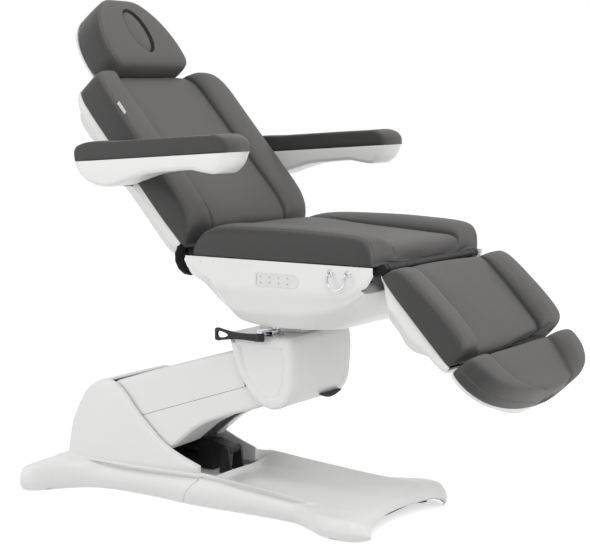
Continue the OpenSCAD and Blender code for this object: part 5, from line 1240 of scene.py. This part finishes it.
def towel_hook(shape):
    """Two roses and a bent rod: out of one rose, down, round a half circle, up and into the other."""
    x, z = 174.0, SEAT_Z - 19.0
    half, out, drop = 25.0, 16.0, 14.0
    a = np.linspace(0, np.pi, 33)
    bend = np.linspace(0, np.pi / 2, 8)
    leg_in = np.column_stack([np.full(3, x - half), np.linspace(0, -out + 6, 3), np.full(3, z)])
    turn = np.column_stack([np.full(8, x - half), -out + 6 - 6 * np.sin(bend), z - 6 + 6 * np.cos(bend)])
    bow = np.column_stack([x - half * np.cos(a), np.full(33, -out), z - drop - half * np.sin(a)])
    first = np.concatenate([leg_in, turn[1:]])
    path = np.concatenate([first, bow, (first * [-1, 1, 1] + [2 * x, 0, 0])[::-1]]) + [0, -PAN_HALF, 0]
    path = through(path, 120, soft=0.6)
    parts = [swept(TABLE(path), 3.0, 14)]
    for side in (-1, 1):
        centre = TABLE(np.array([x + side * half, -PAN_HALF, z]))
        parts.append(turned_on(centre, [0, -1, 0], [(9, -1), (9, 1.2), (8.4, 2.2), (6.5, 3.0), (4.2, 3.6), (3.4, 5.2),
                                                    (3.0, 6)], 36))
    add_mesh("towel_rail", parts, shape["chrome"], "seat", 60.0, replaces=("towel_hook",))


def swept(path, radius, sides):
    """A round rod along any path: each ring lies square to it, turned as little as possible from the last."""
    ahead = np.gradient(path, axis=0)
    ahead /= np.linalg.norm(ahead, axis=1)[:, None]
    side = np.cross(ahead[0], [0.31, 0.2, 0.93])
    rings = []
    a = np.linspace(0, 2 * np.pi, sides, endpoint=False)
    for point, way in zip(path, ahead):
        side = side - way * (side @ way)
        side = side / np.linalg.norm(side)
        top = np.cross(way, side)
        rings.append(point + radius * (np.cos(a)[:, None] * side + np.sin(a)[:, None] * top))
    return lofted(np.array(rings))


def swivel_block(shape):
    """The white block that turns on the carrier, with soft edges; its post and cranks stay as the model has them."""
    low = TABLE(np.array([SWIVEL_X - 68, -50, KEEL_Z - 28.5]))
    box = rounded_box(low - 0.4, low + [136.4, 100.4, 23.4], 2.5)
    add_mesh("swivel_moulding", [box], shape["paint"], "turntable", 50.0)


def hinge_drum(shape):
    """Pleated sleeve round the back hinge, in pieces between its lugs: its radius ripples by a cosine of the angle."""
    a = np.radians(np.linspace(142, 276, 141) + BACK_RISE)
    ripple = 46.3 + 0.6 * np.cos((np.degrees(a) - BACK_RISE - 142) / 134 * 2 * np.pi * 5)
    arc = lambda r: np.stack([r * np.cos(a), r * np.sin(a)], 1)
    parts = []
    for y0, y1 in ((-286, -249), (-207.7, 93), (147, 207.7), (249, 286)):
        y = np.linspace(y0, y1, 5)
        parts.append(walled(*[BACK(np.stack([at_y(arc(r), v) for v in y])) for r in (ripple, ripple - 3.0)]))
    add_mesh("hinge_pleats", parts, shape["rubber"], "back", 60.0, replaces=("hinge_shroud",))


def screw(point, normal, r):
    """A low round head with a hollow middle, sunk a little in the cover."""
    return turned_on(point, normal, [(r, -1.2), (r, 0.15), (0.92 * r, 0.5), (0.6 * r, 0.75), (0.25 * r, 0.8),
                                     (0.24 * r, 0.1), (0.01, 0.1)], 28)


def screws(shape):
    parts = [screw(TABLE(np.array([x, -PAN_HALF - 0.1, 693.0])), [0, -1, 0], 2.2) for x in (-246.0, -208.0)]
    add_mesh("pan_screws", parts, shape["steel"], "seat", 40.0)


def tab(shape):
    """A small blank cloth tab sewn in the near bolster's seam: a strip that waves by a sine of its length."""
    s = np.linspace(0, 1, 24)
    u = np.linspace(0, 1, 9)
    start = np.array([-418.0, -283.5, 87.0])
    grid = start + np.stack([np.column_stack([-38 * s, -v * (1.5 + 0.6 * np.sin(3 * s + 2)), np.full(len(s), 10 * v)])
                             for v in u])
    back = grid + [0, 0.5, 0.1]
    add_mesh("cloth_tab", [walled(BACK(grid), BACK(back))], shape["tab"], "back", 50.0)


# Armrests

REST_W = 100.0
REST_L = 560.0
REST_MID = 380.0
REST_AT = np.array([-82.0, 0.0, 45.0])
REST_SHELL = [(0, 0), (0.013, -0.33), (0.057, -0.7), (0.125, -0.94), (0.205, -1), (0.285, -0.85), (0.423, -0.61),
              (0.575, -0.555), (0.667, -0.55), (0.734, -0.66), (0.817, -0.73), (0.889, -0.7), (0.963, -0.45), (1, 0)]
REST_PAD = [(0, 0), (-0.002, 0.5), (0.01, 0.8), (0.048, 0.98), (0.25, 1), (0.53, 1), (0.8, 0.97), (0.94, 0.92),
            (0.985, 0.7), (1.002, 0.4), (1.002, 0)]
PAD_EDGE = [(0, -0.8), (0.4, -0.6), (0.8, 0), (0.88, 0.3), (0.94, 1.4), (0.975, 3.4), (0.995, 6.5), (1, 10.0)]


def rest_sections(bottom, top, rows, half, corner, crown=0.0, points=12):
    """Closed sections across an armrest, from the rear to the front.

    Each runs up one side, over the top and down the other as a box with rounded corners, whose height goes from the
    bottom line to the top line. The half width draws in at the ends as a quarter ellipse.
    """
    s = (1 - np.cos(np.linspace(0, np.pi, rows))) / 2
    at = lambda line: np.interp(s * REST_L, line[:, 0], line[:, 1])
    low, high = at(bottom), at(top)
    w = half * (0.86 + 0.14 * np.sqrt(np.clip(1 - (1 - np.clip(np.minimum(s, 1 - s) / 0.045, 0, 1)) ** 2, 0, 1)))
    a = np.linspace(0, np.pi / 2, points)
    rings = []
    for x, z0, z1, y in zip(s * REST_L, low, high, w):
        t = max(z1 - z0, 1.0)
        c0, c1 = min(corner[0], t * 0.48, y * 0.9), min(corner[1], t * 0.48, y * 0.9)
        parts = [np.column_stack([-y + c0 - c0 * np.sin(a), z0 + c0 - c0 * np.cos(a)]),
                 np.column_stack([-y + c1 - c1 * np.cos(a), z1 - c1 + c1 * np.sin(a)])]
        half_ring = np.concatenate(parts)
        flat = np.linspace(half_ring[-1, 0], -half_ring[-1, 0], 12)[1:-1]
        other = half_ring[::-1] * [-1, 1]
        under = np.linspace(-half_ring[0, 0], half_ring[0, 0], 12)[1:-1]
        ring = np.concatenate([half_ring, np.column_stack([flat, np.full(10, z1)]), other,
                               np.column_stack([under, np.full(10, z0)])])
        lift = crown * np.clip(1 - (ring[:, 0] / y) ** 2, 0, 1) * (ring[:, 1] > (z0 + z1) / 2)
        rings.append(np.column_stack([np.full(len(ring), x), ring[:, 0], ring[:, 1] + lift]))
    return np.array(rings)


def rounded_front(points):
    """Draw an armrest's front end back to a bow: by 45 mm, and by the square of the width up to 28 more."""
    points = np.array(points, float)
    points[..., 0] -= (45.0 + 28.0 * (2 * points[..., 1] / REST_W) ** 2) * smoothstep(points[..., 0], 400, REST_L)
    return points


class TABLE_OT_armrests(bpy.types.Operator):
    """Make both armrests: a moulded shell with a fine seam, and a padded top"""
    bl_idname = "table.armrests"
    bl_label = "Armrests"

    def execute(self, context):
        shape = finishes()
        shell = through(np.array(REST_SHELL) * [REST_L, 69.0], 160, soft=0.8)
        top = np.array([[0, 0], [REST_L, 0]], float)
        pad = through(np.array(REST_PAD) * [REST_L, 46.0], 160, soft=0.7)
        for side, name in ((-1, "near"), (1, "far")):
            place = lambda p, side=side: REST(rounded_front(p) * [1, side, 1]
                                              + [REST_AT[0], side * REST_MID, REST_AT[2]])
            rings = rest_sections(shell, top, 90, REST_W / 2, (12.0, 1.2))
            body = moulded(f"{name}_rest_moulding", [lofted(place(rings))], f"{name}_armrest", f"{name}_armrest",
                           sharp=50.0)
            pin = REST(np.zeros(3))
            y0, y1 = sorted((side * 300.0, side * 343.0))
            carved(body, drum(pin[0], pin[2], 9.3, y0, y1, 64))
            rings = []
            for share, d in [(-share, d) for share, d in PAD_EDGE[::-1]] + PAD_EDGE[1:]:
                moved = inset(pad, d)
                moved[:, 1] = np.maximum(moved[:, 1], 0) + 0.4
                rings.append(at_y(moved, share * REST_W / 2))
            obj = add_mesh(f"{name}_rest_cushion", [lofted(place(np.array(rings)))], shape["leather"],
                           f"{name}_armrest", 60.0,
                           replaces=(f"{name}_arm_pad",))
        return {"FINISHED"}


# Lock lever and its clamp

LEVER_SIDE = np.array([(0, 0.32), (0.3, 0.26), (0.55, 0.28), (0.8, 0.42), (0.97, 0.5), (1, 0.42)]) * [146.0, 34.0]
LEVER_HOLE = np.array([(0.7, 0), (0.76, 0.16), (0.93, 0.22), (0.95, 0), (0.93, -0.22), (0.76, -0.16)]) * [146.0, 34.0]


class TABLE_OT_lever(bpy.types.Operator):
    """Make the lock lever's paddle with its hole, and the bright clamp that it turns on"""
    bl_idname = "table.lever"
    bl_label = "Lock lever"

    def execute(self, context):
        shape = finishes()
        side = through(LEVER_SIDE, 40, soft=0.7)
        ring = np.concatenate([side, (side * [1, -1])[::-1]]) * [-1, 1]
        ring = ring[np.concatenate([[True], np.linalg.norm(np.diff(ring, axis=0), axis=1) > 0.05])]
        edge = ((1.6, -4.0), (0.5, -3.6), (0, -2.4), (0, 2.4), (0.5, 3.6), (1.6, 4.0))
        rings = [at_y(inset(ring, d) + [0, 9.0], y) for d, y in edge]
        at = np.array([12.0, -166.0, 89.7])
        boss = turned_on(CARRIER(at), [0, 0, 1], [(10, 0), (11, 1), (11, 20.7), (10, 21.7)], 48)
        paddle = add_mesh("lever_paddle", [lofted(CARRIER(np.array(rings) + at))], shape["black_plastic"],
                          "lock_lever", 50.0)
        hole = through(LEVER_HOLE * [-1, 1], 36, closed=True, soft=0.6) + [0, 9.0]
        carved(paddle, lofted(CARRIER(np.stack([at_y(hole, y) for y in (-9.0, 9.0)]) + at)))
        hub = add_mesh("lever_hub", [boss], shape["black_plastic"], "lock_lever", 50.0,
                       replaces=("lock_lever",))
        low = CARRIER(at + [0, 0, -6])
        bore = turned_on(low, [0, 0, 1], [(5.05, 0), (5.05, 40)], 48)
        carved(hub, bore)
        carved(paddle, bore)
        foot = np.array([12.0, 0, CARRIER_H])
        box = lambda x0, x1, y0, y1, z0, z1, r: rounded_box(CARRIER(foot + [x0, y0, z0]),
                                                            CARRIER(foot + [x1, y1, z1]), r)
        parts = [box(-26, 26, -139, -90, 0, 5, 1.2), box(-20, 20, -135, -98, 4.6, 16, 2.0),
                 box(-10.6, 10.6, -160, -104, 12.1, 18.9, 1.2),
                 turned_on(CARRIER(foot + [0, -166, 12]), [0, 0, 1], [(10.4, 0), (11, 0.6), (11, 6.4), (10.4, 7)], 48),
                 turned_on(CARRIER(foot + [0, -166, -14]), [0, 0, 1], [(4.4, 0), (5, 0.8), (5, 27)], 40),
                 knurled(CARRIER(foot + [12, -111.8, 16]), 9.0, 14.0)]
        add_mesh("clamp_block", parts, shape["chrome"], "carrier", 40.0, replaces=("lever_clamp",))
        return {"FINISHED"}


def knurled(at, radius, height):
    """A knob with straight ridges: its radius ripples round the side, and its ends are chamfered."""
    a = np.linspace(0, 2 * np.pi, 144, endpoint=False)
    ripple = 0.3 * np.cos(a * 36)
    rings = []
    side = radius - 0.3
    for r, z, share in ((side - 1.2, 0, 0), (side - 0.2, 1, 1), (side, 1.6, 1), (side, height - 1.6, 1),
                        (side - 0.2, height - 1, 1), (side - 1.3, height, 0), (2.4, height, 0), (2.0, height - 1, 0)):
        ring = r + ripple * share
        rings.append(at + np.column_stack([ring * np.cos(a), ring * np.sin(a), np.full(len(a), z)]))
    return lofted(np.array(rings))


# Materials of the model's own frames, pins and drives, which stay in view through the gaps

KEPT = {
    "black_metal": ("base_chassis", "lift_arm_frame", "carrier_frame", "seat_frame", "back_frame", "leg_frame"),
    "rubber": ("levelling_feet",),
    "black_plastic": ("control_box", "lift_actuator", "tilt_actuator", "back_actuator", "leg_actuator"),
    "steel": ("parallel_link", "head_slide", "foot_rails"),
    "chrome": ("lift_pins", "lift_rod", "carrier_pins", "tilt_rod", "back_rod", "leg_rod"),
    "paint": ("turntable",),
}


class TABLE_OT_frames(bpy.types.Operator):
    """Give the frames, links, pins and drives their finishes"""
    bl_idname = "table.frames"
    bl_label = "Frames and drives"

    def execute(self, context):
        shape = finishes()
        for key, nodes in KEPT.items():
            for node in nodes:
                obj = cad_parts[node]
                for slot in obj.material_slots:
                    slot.material = shape[key]
        return {"FINISHED"}


# Studio

CAMERA_AT = np.array([2.22075, -3.38945, 1.10374])
CAMERA_TURN = 33.38
CAMERA_DOWN = 6.64
CAMERA_LENS = 91.74
LAMPS = [
    ("key", (2.3, -2.6, 3.3), (0.1, 0, 0.6), 2.4, 50.0),
    ("top", (-0.2, -0.2, 3.6), (0, 0, 0.5), 3.2, 30.0),
    ("front_fill", (3.6, 0.8, 1.3), (0, 0, 0.6), 2.4, 26.0),
    ("side_fill", (-2.6, -3.2, 1.5), (0, 0, 0.6), 2.6, 30.0),
]


def seen(tree, sockets):
    """1 for the rays that show a background: those of the camera, reflections and glass."""
    path = tree.nodes.new("ShaderNodeLightPath")
    total = path.outputs[sockets[0]]
    for name in sockets[1:]:
        larger = tree.nodes.new("ShaderNodeMath")
        larger.operation = "MAXIMUM"
        tree.links.new(total, larger.inputs[0])
        tree.links.new(path.outputs[name], larger.inputs[1])
        total = larger.outputs[0]
    return total


class TABLE_OT_studio(bpy.types.Operator):
    """Make the pale floor, the soft lamps, the white background and the camera"""
    bl_idname = "table.studio"
    bl_label = "Studio"

    def execute(self, context):
        scene = context.scene
        world = bpy.data.worlds.new("studio")
        scene.world = world
        world.use_nodes = True
        tree = world.node_tree
        tree.nodes.clear()
        output = tree.nodes.new("ShaderNodeOutputWorld")
        blend = tree.nodes.new("ShaderNodeMixShader")
        for i, strength in ((1, scene.table_sizes.ambient), (2, 1.0)):
            light = tree.nodes.new("ShaderNodeBackground")
            light.inputs["Color"].default_value = (1, 1, 1, 1)
            light.inputs["Strength"].default_value = strength
            tree.links.new(light.outputs[0], blend.inputs[i])
        tree.links.new(seen(tree, ("Is Camera Ray", "Is Glossy Ray", "Is Transmission Ray")), blend.inputs[0])
        tree.links.new(blend.outputs[0], output.inputs[0])

        a = np.linspace(0, 2 * np.pi, 128, endpoint=False)
        points = np.column_stack([14 * np.cos(a), 14 * np.sin(a), np.full(128, -0.0006)])
        mesh = bpy.data.meshes.new("floor")
        mesh.from_pydata(points.tolist(), [], [list(range(128))])
        floor = bpy.data.objects.new("floor", mesh)
        scene.collection.objects.link(floor)
        f = Finish("studio_floor")
        tone = f.noise(1.3, 3.0)
        f.finish(colour=f.mixed(tone, (0.8, 0.8, 0.8, 1), (0.83, 0.83, 0.83, 1)), rough=0.85, specular=0.1)
        glow = f.tree.nodes.new("ShaderNodeEmission")
        glow.inputs["Strength"].default_value = 0.62
        none = f.tree.nodes.new("ShaderNodeEmission")
        none.inputs["Strength"].default_value = 0.0
        pick = f.tree.nodes.new("ShaderNodeMixShader")
        f.tree.links.new(seen(f.tree, ("Is Camera Ray", "Is Glossy Ray", "Is Transmission Ray")), pick.inputs[0])
        f.tree.links.new(none.outputs[0], pick.inputs[1])
        f.tree.links.new(glow.outputs[0], pick.inputs[2])
        total = f.tree.nodes.new("ShaderNodeAddShader")
        f.tree.links.new(f.shader.outputs[0], total.inputs[0])
        f.tree.links.new(pick.outputs[0], total.inputs[1])
        end = next(n for n in f.tree.nodes if n.bl_idname == "ShaderNodeOutputMaterial")
        f.tree.links.new(total.outputs[0], end.inputs[0])
        mesh.materials.append(f.material)

        for name, at, to, size, power in LAMPS:
            light = bpy.data.lights.new(name, "AREA")
            light.shape = "DISK"
            light.size = size
            light.energy = power * scene.table_sizes.lamps
            lamp = bpy.data.objects.new(name, light)
            lamp.location = at
            lamp.rotation_euler = (Vector(to) - Vector(at)).to_track_quat("-Z", "Y").to_euler()
            scene.collection.objects.link(lamp)

        turn, down = math.radians(CAMERA_TURN), math.radians(CAMERA_DOWN)
        ahead = Vector((-math.sin(turn) * math.cos(down), math.cos(turn) * math.cos(down), -math.sin(down)))
        view = bpy.data.cameras.new("camera")
        view.lens = CAMERA_LENS
        view.sensor_width = 36.0
        view.clip_end = 100.0
        camera = bpy.data.objects.new("camera", view)
        camera.location = CAMERA_AT
        camera.rotation_euler = ahead.to_track_quat("-Z", "Y").to_euler()
        scene.collection.objects.link(camera)
        scene.camera = camera
        scene.view_settings.view_transform = "Standard"
        return {"FINISHED"}


# Add-on

def colour(name, about, default):
    return bpy.props.FloatVectorProperty(name=name, description=about, default=default, size=3, min=0, max=1,
                                         subtype="COLOR")


def amount(name, about, default, high, low=0.0, **more):
    return bpy.props.FloatProperty(name=name, description=about, default=default, min=low, max=high, **more)


class TableColours(bpy.types.PropertyGroup):
    leather: colour("Leather", "Base colour of the upholstery", (0.105, 0.102, 0.1))
    moulding: colour("Moulding", "Base colour of the white covers", (0.86, 0.855, 0.85))
    black: colour("Black", "Base colour of frames, rubber and the lever", (0.012, 0.012, 0.013))
    metal: colour("Metal", "Colour of the bright metal", (0.72, 0.73, 0.75))


class TableSizes(bpy.types.PropertyGroup):
    grain: amount("Grain", "Size of the leather's pebbles", 0.0011, 0.004, low=0.0004, unit="LENGTH")
    channel_depth: amount("Channel depth", "How far the sewn channels are drawn in, in millimetres", 3.2, 8)
    pressure: amount("Pressure", "Inner pressure that swells the cushions", 0.35, 5, subtype="FACTOR")
    lamps: amount("Lamps", "Strength of the studio lamps", 1.0, 4, subtype="FACTOR")
    ambient: amount("Ambient", "Strength of the light from all round", 0.5, 2, subtype="FACTOR")


STEPS = (TABLE_OT_cushions, TABLE_OT_head_rest, TABLE_OT_shells, TABLE_OT_base, TABLE_OT_lift_arm, TABLE_OT_carrier,
         TABLE_OT_seat_pan, TABLE_OT_fittings, TABLE_OT_armrests, TABLE_OT_lever, TABLE_OT_frames, TABLE_OT_studio)


class TABLE_PT_sidebar(bpy.types.Panel):
    """Steps that make the table, in order"""
    bl_idname = "TABLE_PT_sidebar"
    bl_label = "Spa treatment table"
    bl_space_type = "VIEW_3D"
    bl_region_type = "UI"
    bl_category = "Table"

    def draw(self, context):
        scene = context.scene
        for group in (scene.table_colours, scene.table_sizes):
            column = self.layout.column()
            for name in group.__annotations__:
                column.prop(group, name)
        for step in STEPS:
            self.layout.operator(step.bl_idname)


CLASSES = (TableColours, TableSizes) + STEPS + (TABLE_PT_sidebar,)


def register():
    for item in CLASSES:
        bpy.utils.register_class(item)
    bpy.types.Scene.table_colours = bpy.props.PointerProperty(type=TableColours)
    bpy.types.Scene.table_sizes = bpy.props.PointerProperty(type=TableSizes)


def unregister():
    del bpy.types.Scene.table_sizes
    del bpy.types.Scene.table_colours
    for item in reversed(CLASSES):
        bpy.utils.unregister_class(item)


def main():
    register()
    for step in STEPS:
        group, name = step.bl_idname.split(".")
        getattr(getattr(bpy.ops, group), name)()


if __name__ == "__main__":
    main()
